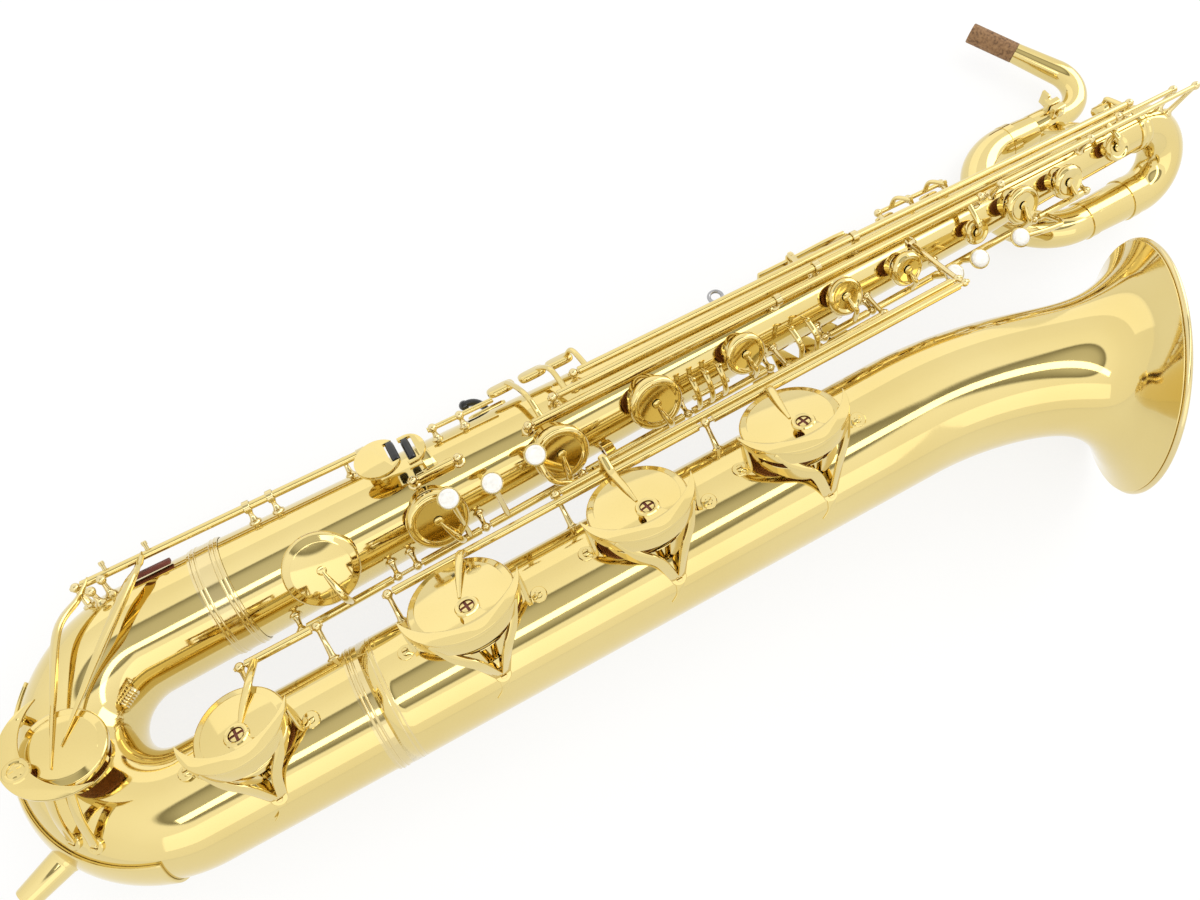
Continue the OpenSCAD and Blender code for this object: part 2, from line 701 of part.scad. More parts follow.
module b_key() color(brass) lie_down() key(b_stack, 4)
    pearl_arm(b_stack, 738, [[736, -48, 11], [694, -45, 20]]);

module low_a_pad() color(leather) lie_down() key_pad(low_a);
module low_b_flat_pad() color(leather) lie_down() key_pad(low_b_flat);
module low_b_pad() color(leather) lie_down() key_pad(low_b);
module low_c_sharp_pad() color(leather) lie_down() key_pad(low_c_sharp);
module low_e_flat_pad() color(leather) lie_down() key_pad(low_e_flat);

// Side keys with long hinge tubes and flat touches
paddle_phi = -54;
paddle_h = 15;
module paddle(x) {
    translate(pt(on_body, paddle_phi, x, paddle_h))
        rotate([paddle_phi, 0, 0])
        cube([18, 12, 3], center = true);
}
module side_key(k, paddle_x) key(k, 0) {
    paddle(paddle_x);
    bar(pt(on_body, paddle_phi, paddle_x + 6, paddle_h), pt(k[0], k[4], k[6] + 5, k[5]), 8, 5, 3);
}
module side_b_flat_key() color(brass) lie_down() side_key(side_b_flat, 294);
module side_c_key() color(brass) lie_down() side_key(side_c, 319);
module high_e_key() color(brass) lie_down() side_key(high_e, 341);

// Palm keys with their touches on the back
module palm_key(k) key(k, 0) {
    bar(pt(k[0], k[4], k[2], k[5]), pt(k[0], k[4] + 30, k[2], k[5] + 7), 8, 16, 3);
}
module palm_d_key() color(brass) lie_down() palm_key(palm_d);
module palm_e_flat_key() color(brass) lie_down() palm_key(palm_e_flat);
module palm_f_key() color(brass) lie_down() palm_key(palm_f);

// Low C key on the bow, with its long hinge tube and the little finger touch
c_swing = 5;
c_a = pt(on_body, c_line_phi, c_x0, c_line_h);
c_b = pt(on_body, c_line_phi, c_x1, c_line_h);
low_c_top = low_c_foot + (bow_r + cup_top + 1.2) * [sin(low_c_phi), 0, cos(low_c_phi)];
touch_phi = -9;
touch_h = 17;
touch_r = 16.5;
touch_x = 194;
plate_t = 3;
roller_r = 3;
roller_l = 17.5;
roller_pin_r = 0.8;
notch_w = 19;
c_roller_x = 11;
module c_swung() turn_about(c_a, c_b, -c_swing) children();
// An arm from the hinge over the bow to the cup
module c_arm(from_x, over, end, w) {
    bar(pt(on_body, c_line_phi, from_x, c_line_h), over, w, w - 2, arm_t);
    translate(over - [0, 0, arm_t / 2]) cylinder(h = arm_t, r = w / 2 - 1);
    bar(over, end, w - 2, 4, arm_t);
    translate(end - [0, 0, arm_t / 2]) cylinder(h = arm_t, r = 2);
}
module low_c_key() color(brass) lie_down() c_swung() difference() {
    union() {
        at_low_c(0) cup(low_c_r);
        rod(c_a, c_b, hinge_r);
        c_arm(26, [14, 16, 45], low_c_top, 9);
        c_arm(-12, [-36, 8, 46], low_c_top + [-8, -12, 8 * tan(low_c_phi)], 6);
        at_touch(touch_x) difference() {
            cylinder(h = plate_t, r = touch_r);
            translate([c_roller_x - roller_r - 1, -notch_w / 2, -1]) cube([20, notch_w, 6]);
            roller_axle(c_roller_x, run_gap);
        }
        bar(
            pt(on_body, touch_phi, touch_x - 6, touch_h),
            pt(on_body, c_line_phi, c_x1 - 6, c_line_h),
            8, 6, plate_t
        );
    }
    rod(
        pt(on_body, c_line_phi, c_x0 - 2, c_line_h),
        pt(on_body, c_line_phi, c_x1 + 2, c_line_h),
        rod_r + run_gap
    );
}
module low_c_pad() color(leather) lie_down() c_swung() at_low_c(0) pad(low_c_r);
module at_touch(x) translate(pt(on_body, touch_phi, x, touch_h)) rotate([touch_phi, 0, 0]) children();
module roller_axle(x, more) translate([x, notch_w / 2 + 2, plate_t / 2])
    rotate([90, 0, 0])
    cylinder(h = notch_w + 4, r = roller_pin_r + more);
module roller(x) {
    roller_axle(x, 0);
    translate([x, roller_l / 2, plate_t / 2]) rotate([90, 0, 0]) cylinder(h = roller_l, r = roller_r);
}
module c_roller() color(black) lie_down() c_swung() at_touch(touch_x) roller(c_roller_x);

// Low E flat lever beside it, on its own short hinge
e_flat_x = touch_x + touch_r + 0.6;
e_flat_l = 16;
e_flat_w = 25;
e_flat_roller_x = 4;
e_flat_x0 = 212;
e_flat_x1 = 238;
e_flat_a = pt(on_body, e_flat_line[1], e_flat_x0, e_flat_line[2]);
e_flat_b = pt(on_body, e_flat_line[1], e_flat_x1, e_flat_line[2]);
module e_flat_lever() color(brass) lie_down() difference() {
    union() {
        at_touch(e_flat_x) difference() {
            translate([0, -e_flat_w / 2, 0]) cube([e_flat_l, e_flat_w, plate_t]);
            translate([-1, -notch_w / 2, -1]) cube([e_flat_roller_x + roller_r + 2, notch_w, 6]);
            roller_axle(e_flat_roller_x, run_gap);
        }
        bar(pt(on_body, touch_phi, e_flat_x + 11, touch_h), (e_flat_a + e_flat_b) / 2, 7, 8, plate_t);
        rod(e_flat_a, e_flat_b, hinge_r);
    }
    rod(
        pt(on_body, e_flat_line[1], e_flat_x0 - 2, e_flat_line[2]),
        pt(on_body, e_flat_line[1], e_flat_x1 + 2, e_flat_line[2]),
        rod_r + run_gap
    );
}
module e_flat_roller() color(black) lie_down() at_touch(e_flat_x) roller(e_flat_roller_x);

// Octave lever on the back of the body
octave_x = 545;
octave_y = body_r(octave_x) + 9;
module octave_cheeks() difference() {
    for (s = [-1, 1]) translate([octave_x - 2.5, octave_y - 14, s * 7.2 - 1.5]) cube([5, 17, 3]);
    octave_pin();
    tube_core(on_body, skin_gap);
}
module octave_pin() translate([octave_x, octave_y, -8.7]) cylinder(h = 17.4, r = rod_r);
module octave_lever() color(brass) lie_down() difference() {
    union() {
        translate([octave_x - 30, octave_y - 2, -5]) cube([80, 3, 10]);
        translate([octave_x, octave_y, -5]) cylinder(h = 10, r = 4);
    }
    translate([octave_x, octave_y, -20]) cylinder(h = 40, r = rod_r + run_gap);
}

// Left little finger touches
touch_x0 = 470;
touch_step = 23;
touch_l = 22.5;
module table_touch(i) difference() {
    x = touch_x0 + i * touch_step;
    a = pt(on_body, touch_line[1], x, touch_line[2]);
    b = pt(on_body, touch_line[1], x + touch_l, touch_line[2]);
    plate = pt(on_body, touch_line[1] - 32, x + touch_l / 2, touch_line[2] + 6);
    union() {
        rod(a, b, hinge_r);
        bar((a + b) / 2, plate, 8, 20, 3);
    }
    rod(
        pt(on_body, touch_line[1], x - 1, touch_line[2]),
        pt(on_body, touch_line[1], x + touch_l + 1, touch_line[2]),
        rod_r + run_gap
    );
}
module g_sharp_touch() color(brass) lie_down() table_touch(0);
module c_sharp_touch() color(brass) lie_down() table_touch(1);
module b_touch() color(brass) lie_down() table_touch(2);
module b_flat_touch() color(brass) lie_down() table_touch(3);

// Key guards: a crescent over the far edge of the open cup, a boss and three legs
guard_lift = 4.5;
guard_t = 2;
boss_r = 8;
felt_r = 5;
boss_turn = 42;
boss_at = 0.64;
// A plate is [cup radius, turn, how far its outer edge is out, how far its inner edge is in, boss turn,
// boss distance].
function plate_of(k) = [k[3], guard_turn, 5, 7.5, boss_turn, boss_at * k[3]];
crescent_shift = 16;
module guard_plate(g) rotate([0, 0, g[1]]) linear_extrude(guard_t) difference() {
    union() {
        difference() {
            circle(g[0] + g[2]);
            translate([-crescent_shift, 0]) circle(g[0] - g[3] + crescent_shift);
        }
        rotate(g[4]) {
            translate([g[5], 0]) circle(boss_r);
            translate([g[5], -5]) square([max(g[0] - g[5], 1), 10]);
        }
    }
    rotate(g[4]) translate([g[5], 0]) circle(felt_r);
}
module felt_in(g) rotate([0, 0, g[1] + g[4]])
    translate([g[5], 0, rest_gap - guard_lift])
    cylinder(h = guard_lift + guard_t - rest_gap, r = felt_r);
guard_z = cup_top + guard_lift;
leg_out = 4;
leg_z = -10;
function guard_pt(k, q, z) =
    let (r = k[3] + leg_out, turn = guard_turn + q)
    opened(k, cup_pt(k, r * cos(turn), r * sin(turn), z));
// A leg goes straight down outside the cup and then in to its foot
module guard_leg(k, q, phi, x) {
    bar(guard_pt(k, q, guard_z + guard_t / 2), guard_pt(k, q, leg_z), 6, 6, 2.4);
    bar(guard_pt(k, q, leg_z), pt(k[0], phi, x, 0.6), 6, 5, 2.4);
    translate(guard_pt(k, q, leg_z)) sphere(2, $fn = 24);
}
module guard_foot(k, phi, x) rod(pt(k[0], phi, x, -2), pt(k[0], phi, x, 1.8), 5.5);
foot_phi = 47;
side_phi = -10;
module guard(k) color(brass) lie_down() difference() {
    union() {
        open(k) at_hole(k, guard_z) guard_plate(plate_of(k));
        guard_leg(k, -24, foot_phi, k[2]);
        guard_leg(k, 38, foot_phi, k[2] + 4);
        guard_leg(k, -78, side_phi, k[2] - k[3] - 9);
        guard_leg(k, 78, side_phi + 12, k[2] + k[3] + 9);
        guard_foot(k, foot_phi, k[2] + 2);
        guard_foot(k, side_phi, k[2] - k[3] - 9);
        guard_foot(k, side_phi + 12, k[2] + k[3] + 9);
    }
    tube_core(k[0], skin_gap);
}
guard_turn = -95;
module guard_low_a() guard(low_a);
module guard_low_b_flat() guard(low_b_flat);
module guard_low_b() guard(low_b);
module guard_low_c_sharp() guard(low_c_sharp);

// Guard of the low C key, on the outside of the bow
plate_c = [low_c_r, 196, 9, 5, 0, low_c_r];
function bow_pt(turn, tilt, h) =
    [0, -bow_bend, 0]
    + (bow_bend + (bow_r + h) * cos(tilt)) * [cos(turn), sin(turn), 0]
    + [0, 0, (bow_r + h) * sin(tilt)];
function low_c_pt(q) =
    turned(low_c_foot + (bow_r + guard_z + guard_t / 2) * [sin(low_c_phi), 0, cos(low_c_phi)]
        + (low_c_r + 4) * [cos(q) * cos(low_c_phi), sin(q), -cos(q) * sin(low_c_phi)],
        c_a, c_b, -c_swing);
module c_guard_leg(q, turn, tilt) {
    bar(low_c_pt(q), bow_pt(turn, tilt, 0.6), 7, 5, 2.4);
    rod(bow_pt(turn, tilt, -2), bow_pt(turn, tilt, 1.8), 5.5);
}
module guard_low_c() color(brass) lie_down() difference() {
    union() {
        c_swung() at_low_c(guard_z) guard_plate(plate_c);
        c_guard_leg(130, 156, 50);
        c_guard_leg(246, 218, 48);
        c_guard_leg(268, 228, 52);
    }
    bow_ring() circle(bow_r + skin_gap);
}
module guard_bumpers() color(felt) lie_down() {
    for (k = [low_a, low_b_flat, low_b, low_c_sharp]) {
        open(k) at_hole(k, guard_z) felt_in(plate_of(k));
    }
    c_swung() at_low_c(guard_z) felt_in(plate_c);
}

body_tube();
bow();
bell_stem();
bell_flare();
bell_rim();
ferrules();
bow_guard();
peg_socket();
bell_brace();
crook_bend();
crook_loop();
neck_receiver();
strap_ring();
thumb_hook();
posts();
hinge_rods();
guard_low_a();
guard_low_b_flat();
guard_low_b();
guard_low_c_sharp();
guard_low_c();
guard_bumpers();
neck_tube();
neck_cork();
clamp_screw();
low_a_key();
low_b_flat_key();
low_b_key();
low_c_sharp_key();
low_c_key();
low_e_flat_key();
low_a_pad();
low_b_flat_pad();
low_b_pad();
low_c_sharp_pad();
low_c_pad();
low_e_flat_pad();
d_key();
e_key();
f_key();
f_sharp_key();
g_sharp_key();
g_key();
a_key();
b_key();
side_b_flat_key();
side_c_key();
high_e_key();
e_flat_lever();
c_roller();
e_flat_roller();
octave_lever();
g_sharp_touch();
c_sharp_touch();
b_touch();
b_flat_touch();
palm_d_key();
palm_e_flat_key();
palm_f_key();
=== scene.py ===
"""Looks of a low A baritone saxophone in polished gold lacquer, lying on a white floor."""

from collections import namedtuple
from math import acos, copysign, cos, pi, radians, sin

import bmesh
import bpy
from mathutils import Matrix, Vector


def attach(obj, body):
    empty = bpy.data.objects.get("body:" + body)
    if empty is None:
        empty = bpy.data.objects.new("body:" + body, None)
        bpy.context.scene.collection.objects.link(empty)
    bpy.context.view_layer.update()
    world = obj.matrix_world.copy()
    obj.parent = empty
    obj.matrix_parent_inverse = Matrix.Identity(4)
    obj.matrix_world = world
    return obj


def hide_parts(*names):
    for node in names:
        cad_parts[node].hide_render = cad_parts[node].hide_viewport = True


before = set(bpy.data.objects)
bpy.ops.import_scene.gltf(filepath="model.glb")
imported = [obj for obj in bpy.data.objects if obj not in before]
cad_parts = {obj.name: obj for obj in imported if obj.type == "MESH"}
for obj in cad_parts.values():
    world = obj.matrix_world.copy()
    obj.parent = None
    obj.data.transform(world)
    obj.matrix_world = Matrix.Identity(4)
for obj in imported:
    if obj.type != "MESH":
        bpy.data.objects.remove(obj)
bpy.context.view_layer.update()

# Everything below is in millimetres in the instrument's own frame: X along the body from the bow to the
# crook, Y from the bell towards the player, Z to the front. This lays it on the floor, in metres.
LIE = (
    Matrix.Scale(0.001, 4)
    @ Matrix.Translation((-387.461, 35.642, 40.762))
    @ Matrix.Rotation(radians(-2.300), 4, "Y")
    @ Matrix.Rotation(radians(-7.598), 4, "X")
)

# Tubes
BODY_R0, BODY_R1, BODY_X0, BODY_X1 = 39.3, 17.5, 60, 852
BELL_R0, BELL_R1, BELL_X0, BELL_X1 = 41.8, 44.8, 126, 532
BOW_R, AXIS_GAP, WALL = 40.4, 123.5, 1.2
BOW_BEND = AXIS_GAP / 2
BELL_LEAN, BELL_BEND, MOUTH_S, MOUTH_R, MOUTH_POWER = radians(30.7), 307, 175, 90, 9
CROOK_R, LOOP_BEND, LOOP_X, CROOK_Y, CROOK_Z = 15.5, 50, 793, -30, -48
RECEIVER_X0, RECEIVER_X1, RECEIVER_Y = 824, 852, 70
NECK_R, NECK_BEND, NECK_TURN, NECK_X, NECK_L = 10.4, 26, radians(120), 860, 85
CORK_R, CORK_L = 8.8, 44

# Keywork
ROD_R, BALL_R = 1.5, 3.4
CUP_Z0, CUP_TOP, PAD_Z0, PAD_Z1 = 5.35, 11.35, 4.35, 8.85
GUARD_Z, GUARD_T, GUARD_TURN = CUP_TOP + 4.5, 2, radians(-95)
BOSS_TURN, BOSS_AT, CRESCENT_SHIFT = radians(12), 0.44, 16
LOW_C_PHI, LOW_C_R, LOW_C_TURN, C_SWING = radians(13), 26, radians(10), radians(-5)

ON_BODY, ON_BELL, ON_BOW = "body", "bell", "bow"


def body_r(x):
    return BODY_R0 + (BODY_R1 - BODY_R0) * (x - BODY_X0) / (BODY_X1 - BODY_X0)


def bell_r(x):
    return BELL_R0 + (BELL_R1 - BELL_R0) * (x - BELL_X0) / (BELL_X1 - BELL_X0)


def on_tube(tube, phi, x, h):
    """A point h above a tube, phi degrees round it from the front."""
    r = h + {ON_BODY: body_r(x), ON_BELL: bell_r(x), ON_BOW: BOW_R + 0.6}[tube]
    y = 0 if tube == ON_BODY else -AXIS_GAP
    return Vector((x, y - sin(radians(phi)) * r, cos(radians(phi)) * r))


def outward(phi):
    """The direction away from a tube's axis, phi degrees round it from the front."""
    return Vector((0, -sin(radians(phi)), cos(radians(phi))))


def turned_about(a, b, angle):
    return Matrix.Translation(a) @ Matrix.Rotation(angle, 4, b - a) @ Matrix.Translation(-a)


def aimed(at, toward):
    return Matrix.Translation(at) @ Vector(toward).to_track_quat("Z", "Y").to_matrix().to_4x4()


# Shapes, each a bmesh in millimetres


def tidied(bm):
    bmesh.ops.remove_doubles(bm, verts=bm.verts, dist=0.002)
    bmesh.ops.recalc_face_normals(bm, faces=bm.faces)
    return bm


def eased(bm, offset, segments=2, sharper=40):
    """Rounds every edge that is sharper than an angle."""
    sharp = [e for e in bm.edges if e.is_manifold and e.calc_face_angle(0) > radians(sharper)]
    bmesh.ops.bevel(
        bm, geom=sharp, offset=offset, offset_type="OFFSET", segments=segments,
        profile=0.5, affect="EDGES", material=-1, clamp_overlap=True,
    )
    return bm


def lathe(place, profile, steps=64, closed=False):
    """A turned piece: the profile is (radius, height) along the Z of its place."""
    bm = bmesh.new()
    verts = [bm.verts.new((r, 0, z)) for r, z in profile]
    edges = [bm.edges.new(pair) for pair in zip(verts, verts[1:])]
    if closed:
        edges.append(bm.edges.new((verts[-1], verts[0])))
    bmesh.ops.spin(
        bm, geom=verts + edges, cent=(0, 0, 0), axis=(0, 0, 1), angle=2 * pi, steps=steps,
        use_merge=True,
    )
    bmesh.ops.transform(bm, matrix=place, verts=bm.verts)
    return tidied(bm)


def curved(stations, between=6):
    """Smooths a path of (point, across, thick) stations."""
    rows = [Vector((*p, w, t)) for p, w, t in stations]
    rows = [2 * rows[0] - rows[1]] + rows + [2 * rows[-1] - rows[-2]]
    out = []
    for a, b, c, d in zip(rows, rows[1:], rows[2:], rows[3:]):
        for i in range(between):
            u = i / between
            out.append(
                0.5 * (2 * b + (c - a) * u + (2 * a - 5 * b + 4 * c - d) * u * u
                       + (3 * b - a - 3 * c + d) * u ** 3)
            )
    out.append(rows[-2])
    return [(Vector(v[:3]), max(v[3], 0.1), max(v[4], 0.1)) for v in out]


def swept(stations, up=(0, 0, 1), sides=24, caps=True, square=False):
    """A bar along (point, across, thick) stations. Its thickness is towards up, which may depend on the point."""
    bm = bmesh.new()
    rings = []
    for i, (point, across, thick) in enumerate(stations):
        ahead = stations[min(i + 1, len(stations) - 1)][0] - stations[max(i - 1, 0)][0]
        z = ahead.normalized()
        side = up(point) if callable(up) else Vector(up)
        y = side - z * z.dot(side)
        y = y.normalized() if y.length > 1e-3 else z.orthogonal().normalized()
        turn = Matrix((y.cross(z), y, z)).transposed().to_4x4()
        rings.append(Matrix.Translation(point) @ turn @ Matrix.Diagonal((across / 2, thick / 2, 1, 1)))
    start = bmesh.ops.create_circle(bm, segments=sides, radius=1)["verts"]
    if square:
        bmesh.ops.rotate(bm, verts=start, matrix=Matrix.Rotation(pi / 4, 3, "Z"))
        bmesh.ops.scale(bm, verts=start, vec=(2 ** 0.5, 2 ** 0.5, 1))
    bmesh.ops.transform(bm, matrix=rings[0], verts=start)
    first = edges = list(bm.edges)
    for last, ring in zip(rings, rings[1:]):
        made = bmesh.ops.extrude_edge_only(bm, edges=edges)["geom"]
        verts = [g for g in made if isinstance(g, bmesh.types.BMVert)]
        edges = [g for g in made if isinstance(g, bmesh.types.BMEdge) and g.is_boundary]
        bmesh.ops.transform(bm, matrix=ring @ last.inverted(), verts=verts)
    if caps:
        bmesh.ops.edgeloop_fill(bm, edges=first)
        bmesh.ops.edgeloop_fill(bm, edges=edges)
    bmesh.ops.recalc_face_normals(bm, faces=bm.faces)
    return bm


def rod(a, b, r, sides=24):
    """A round bar with a small chamfer at both ends."""
    length = (b - a).length
    return lathe(
        aimed(a, b - a),
        [(0, 0), (r - 0.35, 0), (r, 0.35), (r, length - 0.35), (r - 0.35, length), (0, length)], sides,
    )


def strap(stations, up, ease=0.5):
    """A flat bar with rounded edges."""
    return eased(swept(stations, up, sides=4, square=True), ease, sharper=60)


def plate(place, outline, thick, ease=0.5, segments=2):
    """A flat plate with rounded edges, from the (x, y) corners of its outline."""
    bm = bmesh.new()
    bm.faces.new([bm.verts.new((x, y, 0)) for x, y in outline])
    return raised(bm, place, thick, ease, segments)


def raised(bm, place, thick, ease, segments=2):
    top = bmesh.ops.extrude_face_region(bm, geom=bm.faces[:])["geom"]
    bmesh.ops.translate(bm, vec=(0, 0, thick), verts=[v for v in top if isinstance(v, bmesh.types.BMVert)])
    bmesh.ops.recalc_face_normals(bm, faces=bm.faces)
    eased(bm, ease, segments)
    bmesh.ops.transform(bm, matrix=place, verts=bm.verts)
    return bm


def ball(at, r):
    bm = bmesh.new()
    bmesh.ops.create_uvsphere(bm, u_segments=32, v_segments=20, radius=r, matrix=Matrix.Translation(at))
    return bm


def ring_of(place, r, wire, steps=96):
    """A round wire bent to a ring."""
    turns = [2 * pi * i / 16 for i in range(16)]
    return lathe(place, [(r + wire * cos(q), wire * sin(q)) for q in turns], steps, closed=True)


def screw_head(place, r, h, slots=2):
    """A screw head with one slot, or two that cross."""
    parts = []
    for i in range(4 if slots == 2 else 2):
        bm = bmesh.new()
        corners = [(0, h * 0.4), (r * 0.72, h * 0.4), (r * 0.72, h * 0.8), (r * 0.58, h), (0, h)]
        face = bm.faces.new([bm.verts.new((x, 0, z)) for x, z in corners])
        bmesh.ops.spin(
            bm, geom=[face, *face.edges, *face.verts], cent=(0, 0, 0), axis=(0, 0, 1),
            angle=pi / slots, steps=16,
        )
        tidied(bm)
        gap = (r * 0.22, r * 0.22, 0) if slots == 2 else (0, r * 0.16, 0)
        bmesh.ops.translate(bm, vec=gap, verts=bm.verts)
        turn = Matrix.Rotation(i * pi / slots, 4, "Z")
        bmesh.ops.transform(bm, matrix=place @ turn, verts=bm.verts)
        parts.append(bm)
    return parts


# Finishes


def noise(nodes, links, place, scale, detail=4):
    """A noise texture on the piece's own coordinates."""
    tex = nodes.new("ShaderNodeTexNoise")
    tex.inputs["Scale"].default_value = scale
    tex.inputs["Detail"].default_value = detail
    links.new(place.outputs["Object"], tex.inputs["Vector"])
    return tex


def ramp(nodes, links, fac, stops):
    """A colour ramp over a texture value."""
    made = nodes.new("ShaderNodeValToRGB")
    elements = made.color_ramp.elements
    while len(elements) < len(stops):
        elements.new(0.5)
    for element, (at, colour) in zip(elements, stops):
        element.position = at
        element.color = (*colour, 1)
    links.new(fac, made.inputs["Fac"])
    return made


def spread(nodes, links, value, low, high):
    """Maps a 0 to 1 texture value to a range."""
    made = nodes.new("ShaderNodeMapRange")
    made.inputs["To Min"].default_value = low
    made.inputs["To Max"].default_value = high
    links.new(value, made.inputs["Value"])
    return made


def finish(name, tones, rough, grain, bump, **sockets):
    """A finish with a drift of tones, an uneven gloss and a fine grain, of (drift, gloss, bump) scales."""
    material = bpy.data.materials.new(name)
    material.use_nodes = True
    nodes, links = material.node_tree.nodes, material.node_tree.links
    shader = nodes["Principled BSDF"]
    place = nodes.new("ShaderNodeTexCoord")
    drift = noise(nodes, links, place, grain[0])
    tone = ramp(nodes, links, drift.outputs["Fac"], tones)
    links.new(tone.outputs["Color"], shader.inputs["Base Color"])
    gloss = noise(nodes, links, place, grain[1], 6)
    uneven = spread(nodes, links, gloss.outputs["Fac"], *rough)
    links.new(uneven.outputs["Result"], shader.inputs["Roughness"])
    pores = noise(nodes, links, place, grain[2], 8)
    dent = nodes.new("ShaderNodeBump")
    dent.inputs["Strength"].default_value = bump
    dent.inputs["Distance"].default_value = 0.0003
    links.new(pores.outputs["Fac"], dent.inputs["Height"])
    links.new(dent.outputs["Normal"], shader.inputs["Normal"])
    for socket, value in sockets.items():
        shader.inputs[socket.replace("_", " ")].default_value = value
    return material


LACQUER = finish(
    "lacquered_brass", [(0.3, (0.72, 0.57, 0.22)), (0.7, (0.76, 0.62, 0.27))],
    (0.03, 0.10), (9, 160, 700), 0.015, Metallic=1.0, Coat_Weight=0.35, Coat_Roughness=0.05,
)
PALE = finish(
    "pale_brass", [(0.3, (0.70, 0.57, 0.27)), (0.7, (0.75, 0.63, 0.34))],
    (0.06, 0.15), (14, 240, 900), 0.02, Metallic=1.0, Coat_Weight=0.3, Coat_Roughness=0.06,
)
LEATHER = finish(
    "pad_leather", [(0.25, (0.20, 0.07, 0.03)), (0.75, (0.34, 0.14, 0.07))],
    (0.45, 0.7), (60, 300, 1400), 0.35,
)
FELT = finish(
    "felt", [(0.2, (0.10, 0.022, 0.015)), (0.8, (0.21, 0.055, 0.035))],
    (0.85, 1.0), (180, 400, 2600), 0.7, Sheen_Weight=0.15,
)
CORK = finish(
    "cork", [(0.28, (0.075, 0.034, 0.013)), (0.45, (0.23, 0.12, 0.05)), (0.75, (0.35, 0.20, 0.09))],
    (0.55, 0.85), (420, 300, 1500), 0.6,
)
BLACK = finish(
    "black_plastic", [(0.3, (0.012, 0.012, 0.013)), (0.7, (0.03, 0.03, 0.032))],
    (0.08, 0.2), (40, 220, 900), 0.03,
)
NICKEL = finish(
    "nickel", [(0.3, (0.34, 0.34, 0.35)), (0.7, (0.46, 0.46, 0.47))],
    (0.1, 0.22), (30, 220, 900), 0.03, Metallic=1.0,
)
PEARL = finish(
    "white_pearl", [(0.3, (0.72, 0.72, 0.70)), (0.5, (0.84, 0.82, 0.79)), (0.72, (0.78, 0.80, 0.82))],
    (0.12, 0.28), (260, 200, 800), 0.04, Coat_Weight=0.6, Coat_Roughness=0.05,
)


def piece(name, body, coat, shapes, nodes=(), rest=None, sharp=32):
    """Joins shapes to one finished piece that rides on a body and stands for its CAD nodes."""
    bm = bmesh.new()
    spare = bpy.data.meshes.new("spare")
    for shape in shapes:
        shape.to_mesh(spare)
        bm.from_mesh(spare)
        shape.free()
    bpy.data.meshes.remove(spare)
    bmesh.ops.transform(bm, matrix=LIE @ rest if rest else LIE, verts=bm.verts)
    return shown(name, body, coat, bm, nodes, sharp)


def shown(name, body, coat, bm, nodes, sharp):
    for face in bm.faces:
        face.smooth = True
    for edge in bm.edges:
        edge.smooth = edge.calc_face_angle(0) < radians(sharp)
    mesh = bpy.data.meshes.new(name)
    bm.to_mesh(mesh)
    bm.free()
    obj = bpy.data.objects.new(name, mesh)
    bpy.context.scene.collection.objects.link(obj)
    mesh.materials.append(coat)
    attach(obj, body)
    if nodes:
        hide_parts(*nodes)
    return obj


def polished(node, body, coat, ease=0.0):
    """A smooth copy of a CAD node."""
    bm = bmesh.new()
    bm.from_mesh(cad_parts[node].data)
    bmesh.ops.scale(bm, vec=(1000, 1000, 1000), verts=bm.verts)
    bmesh.ops.remove_doubles(bm, verts=bm.verts, dist=0.005)
    bmesh.ops.dissolve_limit(bm, angle_limit=radians(0.6), verts=bm.verts, edges=bm.edges)
    if ease:
        eased(bm, ease, sharper=50)
    bmesh.ops.scale(bm, vec=(0.001, 0.001, 0.001), verts=bm.verts)
    return shown(node + "_polished", body, coat, bm, [node], 32)


# Tubes and bell


def round_path(points, radii):
    return [(Vector(p), 2 * r, 2 * r) for p, r in zip(points, radii)]


def spaced(a, b, count):
    return [a + (b - a) * i / count for i in range(count + 1)]


def body_tube():
    xs = spaced(BODY_X0, BODY_X1, 48)
    tube = swept(round_path([(x, 0, 0) for x in xs], map(body_r, xs)), sides=96, caps=False)
    chimneys = [chimney(k) for k in KEYS if k.tube == ON_BODY]
    piece("body_cone", "body", LACQUER, [tube] + chimneys, ["body_tube"])


def bow():
    points, radii = [], []
    for x in spaced(BODY_X0, 0, 6):
        points.append((x, 0, 0))
        radii.append(BOW_R + (BODY_R0 - BOW_R) * x / BODY_X0)
    for q in spaced(radians(90), radians(270), 72)[1:-1]:
        points.append((BOW_BEND * cos(q), BOW_BEND * (sin(q) - 1), 0))
        radii.append(BOW_R)
    for x in spaced(0, BELL_X0, 8):
        points.append((x, -AXIS_GAP, 0))
        radii.append(BOW_R + (BELL_R0 - BOW_R) * x / BELL_X0)
    tube = swept(round_path(points, radii), sides=96, caps=False)
    low_c_hole = turned_chimney(at_low_c(0), LOW_C_R)
    piece("bow_tube", "body", LACQUER, [tube, low_c_hole, chimney(KEY["low_c_sharp"])], ["bow"])


def flare_axis(s):
    bend = BELL_BEND * BELL_LEAN
    a, rest = min(s, bend) / bend * BELL_LEAN, max(s - bend, 0)
    x = BELL_X1 + BELL_BEND * sin(a) + rest * cos(a)
    return Vector((x, -AXIS_GAP - BELL_BEND * (1 - cos(a)) - rest * sin(a), 0))


